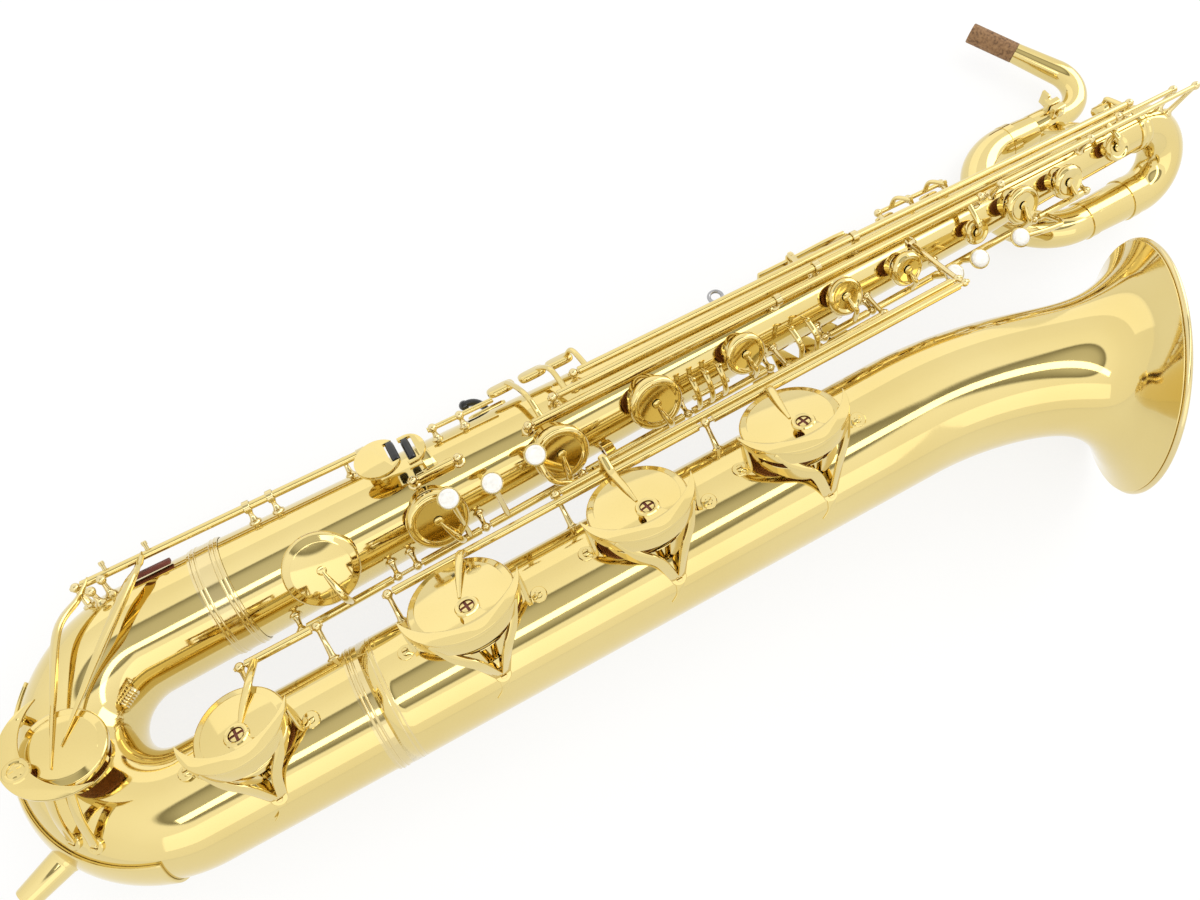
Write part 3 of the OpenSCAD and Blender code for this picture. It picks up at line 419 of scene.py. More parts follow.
def bell():
    xs = spaced(BELL_X0, BELL_X1, 30)[:-1]
    points = [(x, -AXIS_GAP, 0) for x in xs]
    radii = [bell_r(x) for x in xs]
    for u in spaced(0, 1, 56):
        s = MOUTH_S * (1 - (1 - u) ** 1.7)
        points.append(flare_axis(s))
        radii.append(BELL_R1 + (MOUTH_R - BELL_R1) * (s / MOUTH_S) ** MOUTH_POWER)
    tube = swept(round_path(points, radii), sides=128, caps=False)
    obj = piece("bell_shell", "body", LACQUER, [tube], ["bell_stem", "bell_flare"])
    skin = obj.modifiers.new("wall", "SOLIDIFY")
    skin.thickness = WALL / 1000
    skin.offset = -1
    piece("bell_tone_holes", "body", LACQUER, [chimney(k) for k in KEYS if k.tube == ON_BELL])
    mouth = aimed(flare_axis(MOUTH_S + 2.2), flare_axis(MOUTH_S) - flare_axis(MOUTH_S - 5))
    piece("bell_rim_wire", "body", PALE, [ring_of(mouth, MOUTH_R, 2.2, 128)], ["bell_rim"])


def ferrule(x, y, r):
    profile = [(r + 0.1, -10), (r + 0.9, -9.8)]
    for bead in (-7.2, -4.2, 6.8, 9.8):
        profile += [(r + 0.9, bead - 0.9), (r + 1.3, bead - 0.5), (r + 1.45, bead), (r + 1.3, bead + 0.5)]
        profile += [(r + 0.9, bead + 0.9)]
    profile += [(r + 0.9, 12), (r + 0.1, 12.2)]
    return lathe(aimed((x, y, 0), (1, 0, 0)), profile, 96)


def ferrules():
    ends = [ferrule(BODY_X0, 0, BODY_R0), ferrule(BELL_X0, -AXIS_GAP, BELL_R0)]
    piece("bow_ferrules", "body", PALE, ends, ["ferrules"])


def peg_socket():
    turn, aim = radians(210), radians(201)
    base = Vector((0, -BOW_BEND, 0)) + (BOW_BEND + BOW_R - 6) * Vector((cos(turn), sin(turn), 0))
    profile = [(10.6, 0), (10.6, 8), (10.1, 8.8), (9.9, 10), (8.2, 37.8), (7.8, 38.7), (7.2, 39), (5.5, 39)]
    profile += [(5, 38.4), (5, 11), (0, 11)]
    socket = lathe(aimed(base, (cos(aim), sin(aim), 0)), profile)
    piece("peg_socket_turned", "body", LACQUER, [socket], ["peg_socket"])


def crook_axis(turn):
    """A point on the middle line of the bend at the top of the body."""
    reach = Vector((0, CROOK_Y, CROOK_Z))
    half = reach.length / 2
    return Vector((BODY_X1 + half * cos(turn), 0, 0)) + reach.normalized() * half * (1 + sin(turn))


def crook():
    points = [crook_axis(q) for q in spaced(-pi / 2, pi / 2, 40)]
    radii = [BODY_R1] * 41
    points += [(x, CROOK_Y, CROOK_Z) for x in spaced(BODY_X1, LOOP_X, 5)[1:]]
    radii += spaced(BODY_R1, CROOK_R, 5)[1:]
    for q in spaced(-pi / 2, -pi * 1.5, 56)[1:]:
        points.append((LOOP_X + LOOP_BEND * cos(q), CROOK_Y + LOOP_BEND * (1 + sin(q)), CROOK_Z))
        radii.append(CROOK_R)
    points += [(x, RECEIVER_Y, CROOK_Z) for x in spaced(LOOP_X, RECEIVER_X0 + 1, 4)[1:]]
    radii += spaced(CROOK_R, NECK_R + 3, 4)[1:]
    collar = [(17.6, -5), (18.6, -5), (19.1, -4.2), (19.1, -2), (18.4, -1), (18.4, 1), (19.1, 2), (19.1, 4.2)]
    collar += [(18.6, 5), (17.6, 5)]
    ring = lathe(aimed((BODY_X1, 0, 0), (1, 0, 0)), collar)
    tube = swept(round_path(points, radii), sides=64, caps=False)
    bands = [(BODY_X1 - 12, CROOK_Y, 17, 17.9, 17), (LOOP_X + 6, CROOK_Y, 15.4, 16.5, 15.4)]
    bands += [(LOOP_X + 6, RECEIVER_Y, 15, 15.9, 14.9)]
    joints = []
    for x, y, r0, r, r1 in bands:
        joints.append(lathe(aimed((x, y, CROOK_Z), (1, 0, 0)), [(r0, -4), (r, -4), (r, 4), (r1, 4)]))
    piece("crook_tube", "body", LACQUER, [tube, ring] + joints, ["crook_bend", "crook_loop"])


IN_RECEIVER = Matrix.Translation((0, RECEIVER_Y, CROOK_Z)) @ Matrix.Rotation(radians(9.2), 4, "X")


def neck():
    heading = Vector((cos(NECK_TURN), sin(NECK_TURN), 0))
    points = [(x, 0, 0) for x in spaced(RECEIVER_X0 + 2, NECK_X, 4)]
    radii = [NECK_R] * 5
    for q in spaced(0, NECK_TURN, 36)[1:]:
        points.append((NECK_X + NECK_BEND * sin(q), NECK_BEND * (1 - cos(q)), 0))
        radii.append(NECK_R)
    end = Vector(points[-1])
    for u in spaced(0, 1, 6)[1:]:
        points.append(end + heading * u * (NECK_L - CORK_L))
        radii.append(NECK_R + (CORK_R - NECK_R) * u)
    collar = [(10.4, 0), (11.8, 0), (12.4, 0.6), (12.4, 4.4), (11.8, 5), (10.4, 5)]
    ring = lathe(aimed((RECEIVER_X1 + 0.35, 0, 0), (1, 0, 0)), collar)
    lip = [(6, -6), (6, -0.4), (6.4, 0), (7, 0), (7.2, -0.3), (7.2, -6)]
    tip = lathe(aimed(end + heading * NECK_L, heading), lip)
    tube = swept(round_path(points, radii), sides=48, caps=False)
    piece("neck_bend", "neck", LACQUER, [tube, ring, tip], ["neck_tube"], IN_RECEIVER)
    cork = [(7.3, 0), (8.4, 0), (8.8, 0.5), (8.8, CORK_L - 0.9), (8.3, CORK_L - 0.1), (7.3, CORK_L - 0.1)]
    sleeve = lathe(aimed(end + heading * (NECK_L - CORK_L), heading), cork)
    piece("cork_sleeve", "neck", CORK, [sleeve], ["neck_cork"], IN_RECEIVER)


# Keys. Phi and rod_phi are degrees round the tube from the front, x, start, end and arm_x are along it, r is the
# cup's radius, angle its swing in degrees, and open is 1 where it stands open at rest. Bends are points that its
# arm goes through, and pearl is where the pearl's arm leaves the hinge and then the points of that arm.

Key = namedtuple("Key", "name tube phi x r rod_phi rod_h start end angle open arm_x bends pearl")
KEYS = [
    Key("low_a", ON_BELL, -14.5, 445, 34.5, -54, 21, 408, 616, 9, 1, 7, [], []),
    Key("low_b_flat", ON_BELL, -14.5, 328, 34.5, -60, 25, 292, 616, 8, 1, -2, [(326, -65.5, 50.5)], []),
    Key("low_b", ON_BELL, -14.5, 200, 36, -54, 21, 164, 396, 9, 1, 16, [], []),
    Key("low_c_sharp", ON_BOW, -12, 47, 30.5, -62, 24, 60, 106, 7, 0, 19, [], []),
    Key("low_e_flat", ON_BODY, 44, 128, 26, 88, 12, 100, 165, 8, 0, 6, [], []),
    Key("d", ON_BODY, 50, 211, 22, 88, 12, 188, 234, 9, 1, 10, [], [226, (223, -32, 53)]),
    Key("e", ON_BODY, 50, 307, 21, 88, 12, 242, 312, 9, 1, -2, [], [256, (253, -36, 52)]),
    Key("f", ON_BODY, 51, 384, 20.5, 88, 12, 320, 402, 9, 1, 6, [],
        [325, (322, -56, 13), (292, -51, 38), (287, -33, 54)]),
    Key("f_sharp", ON_BODY, 50, 460, 16, 88, 12, 410, 474, 9, 1, 4, [], []),
    Key("g_sharp", ON_BODY, 50, 551, 14.5, 90, 11, 532, 568, 9, 0, 4, [], []),
    Key("g", ON_BODY, 52, 604, 13.5, 90, 11, 576, 634, 10, 1, 4, [], [628, (632, -46, 20)]),
    Key("a", ON_BODY, 50, 714, 15, 90, 11, 642, 724, 10, 1, 2, [], [656, (656, -45, 20)]),
    Key("b", ON_BODY, 52, 759, 13.5, 90, 11, 732, 776, 10, 1, 4, [], [738, (736, -48, 11), (694, -45, 20)]),
    Key("side_b_flat", ON_BODY, 58, 672, 10, 16, 12, 299, 680, 6, 0, 0, [], []),
    Key("side_c", ON_BODY, 44, 812, 10.5, 2, 12, 324, 820, 7, 0, 0, [], []),
    Key("high_e", ON_BODY, -56, 836, 9.8, -12, 12, 346, 838, 7, 0, 0, [], []),
    Key("palm_d", ON_BODY, 185, 596, 11, 228, 9, 582, 614, 9, 0, 0, [], []),
    Key("palm_e_flat", ON_BODY, 185, 638, 11, 228, 9, 622, 654, 9, 0, 0, [], []),
    Key("palm_f", ON_BODY, 185, 680, 10, 228, 9, 662, 694, 9, 0, 0, [], []),
]
KEY = {k.name: k for k in KEYS}
GUARDED = ("low_a", "low_b_flat", "low_b", "low_c_sharp")
SIDE_KEYS = ("side_b_flat", "side_c", "high_e")
PADDED = GUARDED + ("low_e_flat",)


def side_of(k):
    return 1 if k.rod_phi > k.phi else -1


def hinge(k):
    return on_tube(k.tube, k.rod_phi, k.start, k.rod_h), on_tube(k.tube, k.rod_phi, k.end, k.rod_h)


def opened(k):
    return turned_about(*hinge(k), side_of(k) * radians(k.angle))


def at_rest(k):
    return opened(k) if k.open else Matrix()


def at_hole(k, h):
    return Matrix.Translation(on_tube(k.tube, k.phi, k.x, h)) @ Matrix.Rotation(radians(k.phi), 4, "X")


def at_low_c(h):
    foot = Vector((-BOW_BEND * cos(LOW_C_TURN), -BOW_BEND * (1 + sin(LOW_C_TURN)), 0))
    tilt = Matrix.Rotation(LOW_C_PHI, 4, "Y")
    return Matrix.Translation(foot) @ tilt @ Matrix.Translation((0, 0, BOW_R + h))


def turned_chimney(place, r, depth=14):
    out, bore = r - 4, r - 5.2
    profile = [(bore, -depth), (bore, 3.5), (bore + 0.3, 3.9), (out - 0.3, 3.9), (out, 3.5), (out, -depth)]
    return lathe(place, profile)


def chimney(k):
    return turned_chimney(at_hole(k, 0), k.r, min(14, k.r * 0.5))


def cup(place, r, ringed=False):
    """A key cup, hollow for its pad: a flat disc with a step, or a sunk disc in a thick rolled ring."""
    lip, top = min(5.5, r * 0.28), CUP_TOP
    if ringed:
        profile = [(0, top - 0.9), (r - lip - 1.2, top - 1.1), (r - lip - 0.3, top - 0.8)]
        profile += [(r - lip + 0.7, top - 0.15), (r - lip + 1.6, top), (r - 1.6, top - 0.5)]
        profile += [(r - 0.5, top - 1.5), (r, top - 3)]
    else:
        profile = [(0, top), (r - lip - 0.6, top), (r - lip, top - 0.25), (r - lip + 0.5, top - 0.55)]
        profile += [(r - 1.7, top - 0.95), (r - 0.7, top - 1.5), (r - 0.12, top - 2.5), (r, top - 3.2)]
    profile += [(r, CUP_Z0 + 0.3), (r - 0.3, CUP_Z0), (r - 1.2, CUP_Z0), (r - 1.4, CUP_Z0 + 0.3)]
    return lathe(place, profile + [(r - 1.4, PAD_Z1), (0, PAD_Z1)], 96)


def pad(place, r):
    """A leather pad with a domed edge and the ring that the tone hole has pressed into it."""
    edge, seat = r - 1.5, r - 4.6
    profile = [
        (0, PAD_Z0 + 0.2), (seat - 1.6, PAD_Z0 + 0.1), (seat - 0.8, PAD_Z0 + 0.35),
        (seat + 0.8, PAD_Z0 + 0.35), (seat + 1.6, PAD_Z0 + 0.05), (edge - 0.8, PAD_Z0 + 0.1),
        (edge - 0.1, PAD_Z0 + 0.9), (edge - 0.1, PAD_Z1 - 0.1), (0, PAD_Z1 - 0.1),
    ]
    dish = [(0, PAD_Z0 - 0.05), (r * 0.3, PAD_Z0 - 0.05), (r * 0.34, PAD_Z0 + 0.2), (0, PAD_Z0 + 0.2)]
    return lathe(place, profile, 72), lathe(place, dish)


def cup_arm(k):
    """A thin blade from the hinge over the edge of the cup to a point at its middle."""
    place = at_hole(k, 0)
    across = -side_of(k)
    hub = on_tube(k.tube, k.rod_phi, k.x + k.arm_x, k.rod_h)
    tip = place @ Vector((0, 0, CUP_TOP + 0.3))
    middle = place @ Vector((k.arm_x * 0.35, across * k.r * 0.45, CUP_TOP + 1.4))
    edge = place @ Vector((k.arm_x * 0.8, across * (k.r - 2), CUP_TOP + 1.8))
    wide = 3.4 + k.r * 0.07
    stations = [(tip, wide * 0.35, 1.2), (middle, wide * 0.8, 2.8), (edge, wide, 3.6)]
    stations += [(Vector(p), wide, 4.0) for p in k.bends]
    stations += [(hub, wide + 0.8, 4.2)]
    normal = place.to_3x3() @ Vector((0, 0, 1))
    blade = swept(curved(stations), normal, sides=20)
    if k.tube != ON_BODY:
        return [blade]
    button = [(0, 1.0), (2.0, 0.9), (3.2, 0.4), (3.5, -0.2), (0, -0.2)]
    return [blade, lathe(place @ Matrix.Translation((0, 0, CUP_TOP)), button, 40)]


def pearl_arm(k):
    """The holder of a finger pearl on its arm, and the pearl."""
    from_x, *path = k.pearl
    points = [on_tube(k.tube, k.rod_phi, from_x, k.rod_h)] + [Vector(p) for p in path]
    arm = swept(curved([(p, 4.2, 4.2) for p in points]), (1, 0.2, 0), sides=20)
    place = Matrix.Translation(points[-1]) @ Matrix.Rotation(radians(k.phi * 0.3), 4, "X")
    holder = [(0, -1.6), (3, -1.4), (6.2, -0.3), (7.6, 0.8), (7.8, 1.6), (7.8, 2.5), (7.4, 2.9)]
    holder += [(6.9, 2.6), (0, 2.4)]
    dome = [(6.85, 2.3), (6.8, 3.2), (6.3, 4.1), (5.2, 4.6), (3.5, 4.55), (0, 4.2)]
    return [arm, lathe(place, holder)], lathe(place, dome)


def hinge_tube(a, b):
    """A hinge tube with its bore and eased ends."""
    length = (b - a).length
    profile = [(1.6, 0), (2.6, 0), (2.9, 0.3), (2.9, length - 0.3), (2.6, length), (1.6, length)]
    return lathe(aimed(a, b - a), profile, 28, closed=True)


PADDLE_PHI = -52


def fuller(v, power):
    return copysign(abs(v) ** power, v)


def paddle(x):
    """A domed side touch with a rounded outline."""
    at = Matrix.Translation(on_tube(ON_BODY, PADDLE_PHI, x, 8)) @ Matrix.Rotation(radians(-38), 4, "X")
    turns = [2 * pi * i / 48 for i in range(48)]
    outline = [(10.8 * fuller(cos(q), 0.55), 6.6 * fuller(sin(q), 0.7)) for q in turns]
    return plate(at, outline, 5.4, 2.3, 5)


def touch_shapes(k):
    """What a finger or palm presses on a key of its own."""
    if k.name in SIDE_KEYS:
        x = k.start - 5
        reach = [(on_tube(ON_BODY, PADDLE_PHI, x + 3, 10), 5, 3.4)]
        reach += [(on_tube(ON_BODY, PADDLE_PHI + 6, x + 6, 13), 4.4, 3.8)]
        reach += [(on_tube(ON_BODY, k.rod_phi - 24, x + 10, 17), 4, 4)]
        reach += [(on_tube(k.tube, k.rod_phi, x + 12, k.rod_h), 4.6, 4.2)]
        return [paddle(x), swept(curved(reach), outward(-30), sides=20)]
    if k.name.startswith("palm"):
        a, b = on_tube(k.tube, k.rod_phi, k.x, k.rod_h), on_tube(k.tube, k.rod_phi + 30, k.x, k.rod_h + 7)
        middle = on_tube(k.tube, k.rod_phi + 16, k.x, k.rod_h + 5)
        stations = [(a, 7, 3.2), (middle, 11, 3.2), (b.lerp(middle, 0.2), 16, 3), (b, 11, 2.6)]
        return [strap(curved(stations), outward(k.rod_phi + 15), 0.8)]
    return []


def keys():
    for k in KEYS:
        ringed = k.tube == ON_BODY and k.name != "low_e_flat"
        shapes = [cup(at_hole(k, 0), k.r, ringed), hinge_tube(*hinge(k))] + cup_arm(k) + touch_shapes(k)
        rest = at_rest(k)
        if k.pearl:
            holder, pearl = pearl_arm(k)
            shapes += holder
            piece(k.name + "_pearl", k.name, PEARL, [pearl], rest=rest)
        piece(k.name + "_cup_and_arm", k.name, LACQUER, shapes, [k.name + "_key"], rest)
        leather, resonator = pad(at_hole(k, 0), k.r)
        stands_for = [k.name + "_pad"] if k.name in PADDED else []
        piece(k.name + "_pad_skin", k.name, LEATHER, [leather], stands_for, rest)
        piece(k.name + "_resonator", k.name, PALE, [resonator], rest=rest)


# Low C key, low E flat lever and their rollers

C_LINE_PHI, C_LINE_H, C_LINE_X0, C_LINE_X1 = -48, 12, -18, 192
TOUCH_X, TOUCH_PHI, TOUCH_H = 194, -9, 17
E_FLAT_X = TOUCH_X + 17.1


def c_line(x):
    """A point on the axis of the low C hinge."""
    return on_tube(ON_BODY, C_LINE_PHI, x, C_LINE_H)


def c_swung():
    return turned_about(c_line(C_LINE_X0), c_line(C_LINE_X1), C_SWING)


def at_touch(x):
    foot = Matrix.Translation(on_tube(ON_BODY, TOUCH_PHI, x, TOUCH_H))
    return foot @ Matrix.Rotation(radians(TOUCH_PHI), 4, "X")


def c_arm(from_x, over, end, wide):
    """A twisted blade, pointed at both ends, from the hinge over the bow to the cup."""
    start, over, end = c_line(from_x), Vector(over), Vector(end)
    span = (end - start).length
    stations = [(start + 3 * outward(C_LINE_PHI), wide * 0.2, 1.6), (start.lerp(over, 0.35), wide * 0.75, 3.4)]
    stations += [(over, wide, 3.4), (over.lerp(end, 0.5) + Vector((0, 0, 1)), wide * 0.6, 3)]
    stations += [(end, 0.8, 1.4)]
    return strap(curved(stations, 8), lambda p: Vector((-0.9 * (p - end).length / span, -0.3, 1)), 0.6)


def roller(x):
    axle = [(0, -11.5), (0.8, -11.5), (0.8, 11.5), (0, 11.5)]
    barrel = [(0, -8.75), (2.3, -8.75), (2.85, -7.9), (3, -5), (3, 5), (2.85, 7.9), (2.3, 8.75), (0, 8.75)]
    place = aimed((x, 0, 1.5), (0, 1, 0))
    return [lathe(place, axle, 16), lathe(place, barrel, 36)]


def low_c():
    top = at_low_c(CUP_TOP + 1.2).translation
    arms = [c_arm(26, (14, 16, 45), top, 9), c_arm(-12, (-36, 8, 46), top + Vector((-8, -12, 1.85)), 6)]
    tube = hinge_tube(c_line(C_LINE_X0), c_line(C_LINE_X1))
    turns = [radians(q) for q in range(36, 325, 6)]
    outline = [(16.5 * cos(q), 16.5 * sin(q)) for q in turns]
    outline += [(13.4, -9.5), (7, -9.5), (7, 9.5), (13.4, 9.5)]
    touch = plate(at_touch(TOUCH_X), outline, 3, 0.6)
    stations = [(on_tube(ON_BODY, TOUCH_PHI, TOUCH_X - 6, TOUCH_H + 0.5), 8, 3)]
    stations += [(on_tube(ON_BODY, -30, TOUCH_X - 8, 18), 7, 3), (c_line(186), 6, 3.4)]
    shapes = [cup(at_low_c(0), LOW_C_R), tube, touch, strap(curved(stations), outward(-30), 0.7)]
    piece("low_c_cup_and_arms", "low_c", LACQUER, shapes + arms, ["low_c_key"], c_swung())
    leather, resonator = pad(at_low_c(0), LOW_C_R)
    piece("low_c_pad_skin", "low_c", LEATHER, [leather], ["low_c_pad"], c_swung())
    piece("low_c_resonator", "low_c", PALE, [resonator], rest=c_swung())
    piece("c_roller_turned", "c_roller", BLACK, roller(11), ["c_roller"], c_swung() @ at_touch(TOUCH_X))


def e_flat_lever():
    round_end = [(5 + 11 * sin(radians(q)), -12.5 * cos(radians(q))) for q in range(0, 181, 10)]
    outline = [(0, -12.5)] + round_end + [(0, 12.5), (0, 9.5), (9, 9.5), (9, -9.5), (0, -9.5)]
    touch = plate(at_touch(E_FLAT_X), outline, 3, 0.6)
    a, b = on_tube(ON_BODY, 12, 212, 9), on_tube(ON_BODY, 12, 238, 9)
    tube = hinge_tube(a, b)
    stations = [(on_tube(ON_BODY, TOUCH_PHI, E_FLAT_X + 11, TOUCH_H + 0.5), 7, 3), ((a + b) / 2, 8, 3)]
    arm = strap(stations, outward(0), 0.7)
    piece("e_flat_touch_and_lever", "e_flat_lever", LACQUER, [touch, tube, arm], ["e_flat_lever"])
    piece("e_flat_roller_turned", "e_flat_roller", BLACK, roller(4), ["e_flat_roller"], at_touch(E_FLAT_X))


# Key guards


def crescent(place, r_out, r_in):
    """A crescent plate: a disc less a larger disc that is set to one side."""
    bm = bmesh.new()
    x = (r_in ** 2 - r_out ** 2 - CRESCENT_SHIFT ** 2) / (2 * CRESCENT_SHIFT)
    half = acos(x / r_out)
    half_in = acos((x + CRESCENT_SHIFT) / r_in)
    for centre, angle in (((0, 0, 0), half), ((-CRESCENT_SHIFT, 0, 0), half_in)):
        start = bm.verts.new((x, -r_out * sin(half), 0))
        bmesh.ops.spin(bm, geom=[start], cent=centre, axis=(0, 0, 1), angle=2 * angle, steps=48)
    bmesh.ops.remove_doubles(bm, verts=bm.verts, dist=0.01)
    bmesh.ops.edgeloop_fill(bm, edges=bm.edges)
    return raised(bm, place, GUARD_T, 0.5)


def guard_plate(frame_at, turn, r, out, inward, boss_turn, boss_at):
    """The crescent, its boss and what joins them, with the screw and the felt of the bumper, whose dark top under
    the screw is painted shade in the slots.
    """
    place = frame_at @ Matrix.Rotation(turn, 4, "Z")
    at_boss = place @ Matrix.Rotation(boss_turn, 4, "Z") @ Matrix.Translation((boss_at, 0, 0))
    boss = [(5.05, -0.4), (7.6, -0.4), (8, 0), (8, 1.9), (7.3, 2.7), (6.0, 2.9), (5.05, 2.4)]
    shapes = [crescent(place, r + out, r - inward + CRESCENT_SHIFT), lathe(at_boss, boss, closed=True)]
    if r - boss_at > 2:
        reach = r - boss_at
        bridge = [(5, 6.2), (reach * 0.45, 6.6), (reach * 0.75, 9.5), (reach * 0.92, 14), (reach, 19)]
        sunk = at_boss @ Matrix.Translation((0, 0, 0.15))
        shapes.append(plate(sunk, bridge + [(x, -y) for x, y in reversed(bridge)], GUARD_T - 0.3, 0.4))
    screw = screw_head(at_boss @ Matrix.Translation((0, 0, 0.6)), 4.3, 1.7)
    # The bumper felt under the plate is real, but it also rises inside the boss to just under the screw head, so
    # its dark colour fills the slots and the ring round the screw as painted shade.
    felt = lathe(at_boss, [(0, -4.1), (4.4, -4.1), (4.9, -3.7), (4.9, 1.1), (4.7, 1.3), (0, 1.3)], 40)
    return shapes, screw, felt


def guard_foot(at, up):
    """A foot that is screwed to the tube."""
    place = aimed(at, up)
    flange = lathe(place, [(0, -1.5), (5.5, -1.5), (5.5, 1.2), (5.0, 1.8), (0, 1.8)], 48)
    return [flange] + screw_head(place @ Matrix.Translation((0, 0, 1.6)), 3.0, 1.4, 1)


def guard(k):
    raise_up = opened(k)

    def edge(q, z):
        turn = GUARD_TURN + radians(q)
        return raise_up @ at_hole(k, 0) @ Vector(((k.r + 4) * cos(turn), (k.r + 4) * sin(turn), z))

    def leg(q, turn, phi, x, wide):
        """A branch that sweeps from the edge of the crescent to a foot."""
        out = (edge(turn, 0) - raise_up @ at_hole(k, 0).translation).normalized()
        stations = [(edge(q, GUARD_Z), wide * 0.6, 2.2), (edge((q + turn) / 2, 3), wide, 2.4)]
        stations += [(edge(turn, -9), wide, 2.4), (on_tube(k.tube, phi, x, 0.9), 6.5, 2.4)]
        return strap(curved(stations), out, 0.6)

    shapes, screw, felt = guard_plate(
        raise_up @ at_hole(k, GUARD_Z), GUARD_TURN, k.r, 5, 7.5, BOSS_TURN, BOSS_AT * k.r,
    )
    feet = [(47, k.x + 2), (-10, k.x - k.r - 9), (2, k.x + k.r + 9)]
    shapes += [leg(-40, -6, 47, k.x, 7), leg(52, 22, 47, k.x + 4, 6.5)]
    shapes += [leg(-78, -78, *feet[1], 6), leg(78, 78, *feet[2], 6)]
    for phi, x in feet:
        shapes += guard_foot(on_tube(k.tube, phi, x, 0), outward(phi))
    hub = raise_up @ at_hole(k, 0)
    skirt = []
    for q in range(-80, 71, 10):
        deep = 2.2 + 9 * cos(radians(q * 90 / 82)) ** 0.7
        skirt.append((edge(q, GUARD_Z + 1.6 - deep / 2), deep, 1.8))

    def away(p):
        return p - hub @ Vector((0, 0, (hub.inverted() @ p).z))

    shapes.append(strap(curved(skirt, 3), away, 0.5))
    tail = [(on_tube(k.tube, 44, k.x + 2, 0.9), 7, 1.8), (on_tube(k.tube, 54, k.x + 1, 0.9), 6, 1.8)]
    tail += [(on_tube(k.tube, 62, k.x - 2, 1.0), 3.4, 1.6), (on_tube(k.tube, 67, k.x - 8, 1.4), 0.5, 0.8)]
    shapes.append(strap(curved(tail), outward(55), 0.3))
    piece("guard_" + k.name + "_plate", "body", LACQUER, shapes + screw, ["guard_" + k.name])
    return felt


def on_bow(turn, tilt, h):
    turn, tilt = radians(turn), radians(tilt)
    reach = BOW_BEND + (BOW_R + h) * cos(tilt)
    return Vector((reach * cos(turn), reach * sin(turn) - BOW_BEND, (BOW_R + h) * sin(tilt)))


def guard_low_c():
    swung = c_swung() @ at_low_c(GUARD_Z)
    shapes, screw, felt = guard_plate(swung, radians(196), LOW_C_R, 9, 5, 0, LOW_C_R)
    for q, turn, tilt in ((130, 156, 50), (246, 218, 48), (268, 228, 52)):
        q = radians(q)
        start = swung @ Vector(((LOW_C_R + 4) * cos(q), (LOW_C_R + 4) * sin(q), 1))
        foot, face = on_bow(turn, tilt, 0.9), on_bow(turn, tilt, 1) - on_bow(turn, tilt, 0)
        stations = [(start, 7, 2.2), (start.lerp(foot, 0.5) + 2 * face, 6, 2.4), (foot, 6, 2.4)]
        shapes.append(strap(curved(stations), face, 0.6))
        shapes += guard_foot(on_bow(turn, tilt, 0), face)
    piece("guard_low_c_plate", "body", LACQUER, shapes + screw, ["guard_low_c"])
    return felt


def guards():
    # The bumper felts, whose tops under the guard screws are also painted shade in the screw slots.
    felts_and_slot_shade = [guard(KEY[name]) for name in GUARDED] + [guard_low_c()]
    piece("guard_felts_and_slot_shade", "body", FELT, felts_and_slot_shade, ["guard_bumpers"])


# Posts and rods

# Each row is a tube, the angle round it, the height above it, the posts along it and the guides between them.
ROD_LINES = [
    (ON_BELL, -54, 21, [160, 402, 621], []),
    (ON_BELL, -60, 25, [288, 621], []),
    (ON_BODY, 88, 12, [96, 169, 184, 238, 316, 406, 478], []),
    (ON_BODY, 90, 11, [528, 572, 638, 728, 780], []),
    (ON_BODY, 16, 12, [295, 684], [500]),
    (ON_BODY, 2, 12, [320, 824], [540]),
    (ON_BODY, -12, 12, [342, 842], [580]),
    (ON_BODY, 228, 9, [578, 618, 658, 698], []),
    (ON_BOW, -62, 24, [56, 110], []),
    (ON_BODY, 12, 9, [208, 242], []),
    (ON_BODY, 165, 10, [466, 565.5], []),
    (ON_BODY, -48, 12, [195.9], []),
]
BRACKET_X = 621
OCTAVE_X = 545
OCTAVE_Y = body_r(OCTAVE_X) + 9


def post_stem(tube, phi, x, h):
    """A turned stem with a soldered foot."""
    profile = [(0, -2.5), (4.6, -2.5), (4.6, 0.6), (4.2, 1.3), (3.0, 1.9), (2.3, 3.2), (1.8, h * 0.6)]
    profile += [(1.8, h - 1.2), (2.2, h - 0.4), (2.2, h), (0, h)]
    return lathe(aimed(on_tube(tube, phi, x, 0), outward(phi)), profile, 32)


def guide(tube, phi, x, h):
    """A ring on a stem in which a long hinge tube turns."""
    a, b = on_tube(tube, phi, x - 2.5, h), on_tube(tube, phi, x + 2.5, h)
    profile = [(3.25, 0), (4.2, 0), (4.55, 0.4), (4.55, 4.6), (4.2, 5), (3.25, 5)]
    return [post_stem(tube, phi, x, h - 3.6), lathe(aimed(a, b - a), profile, 40, closed=True)]


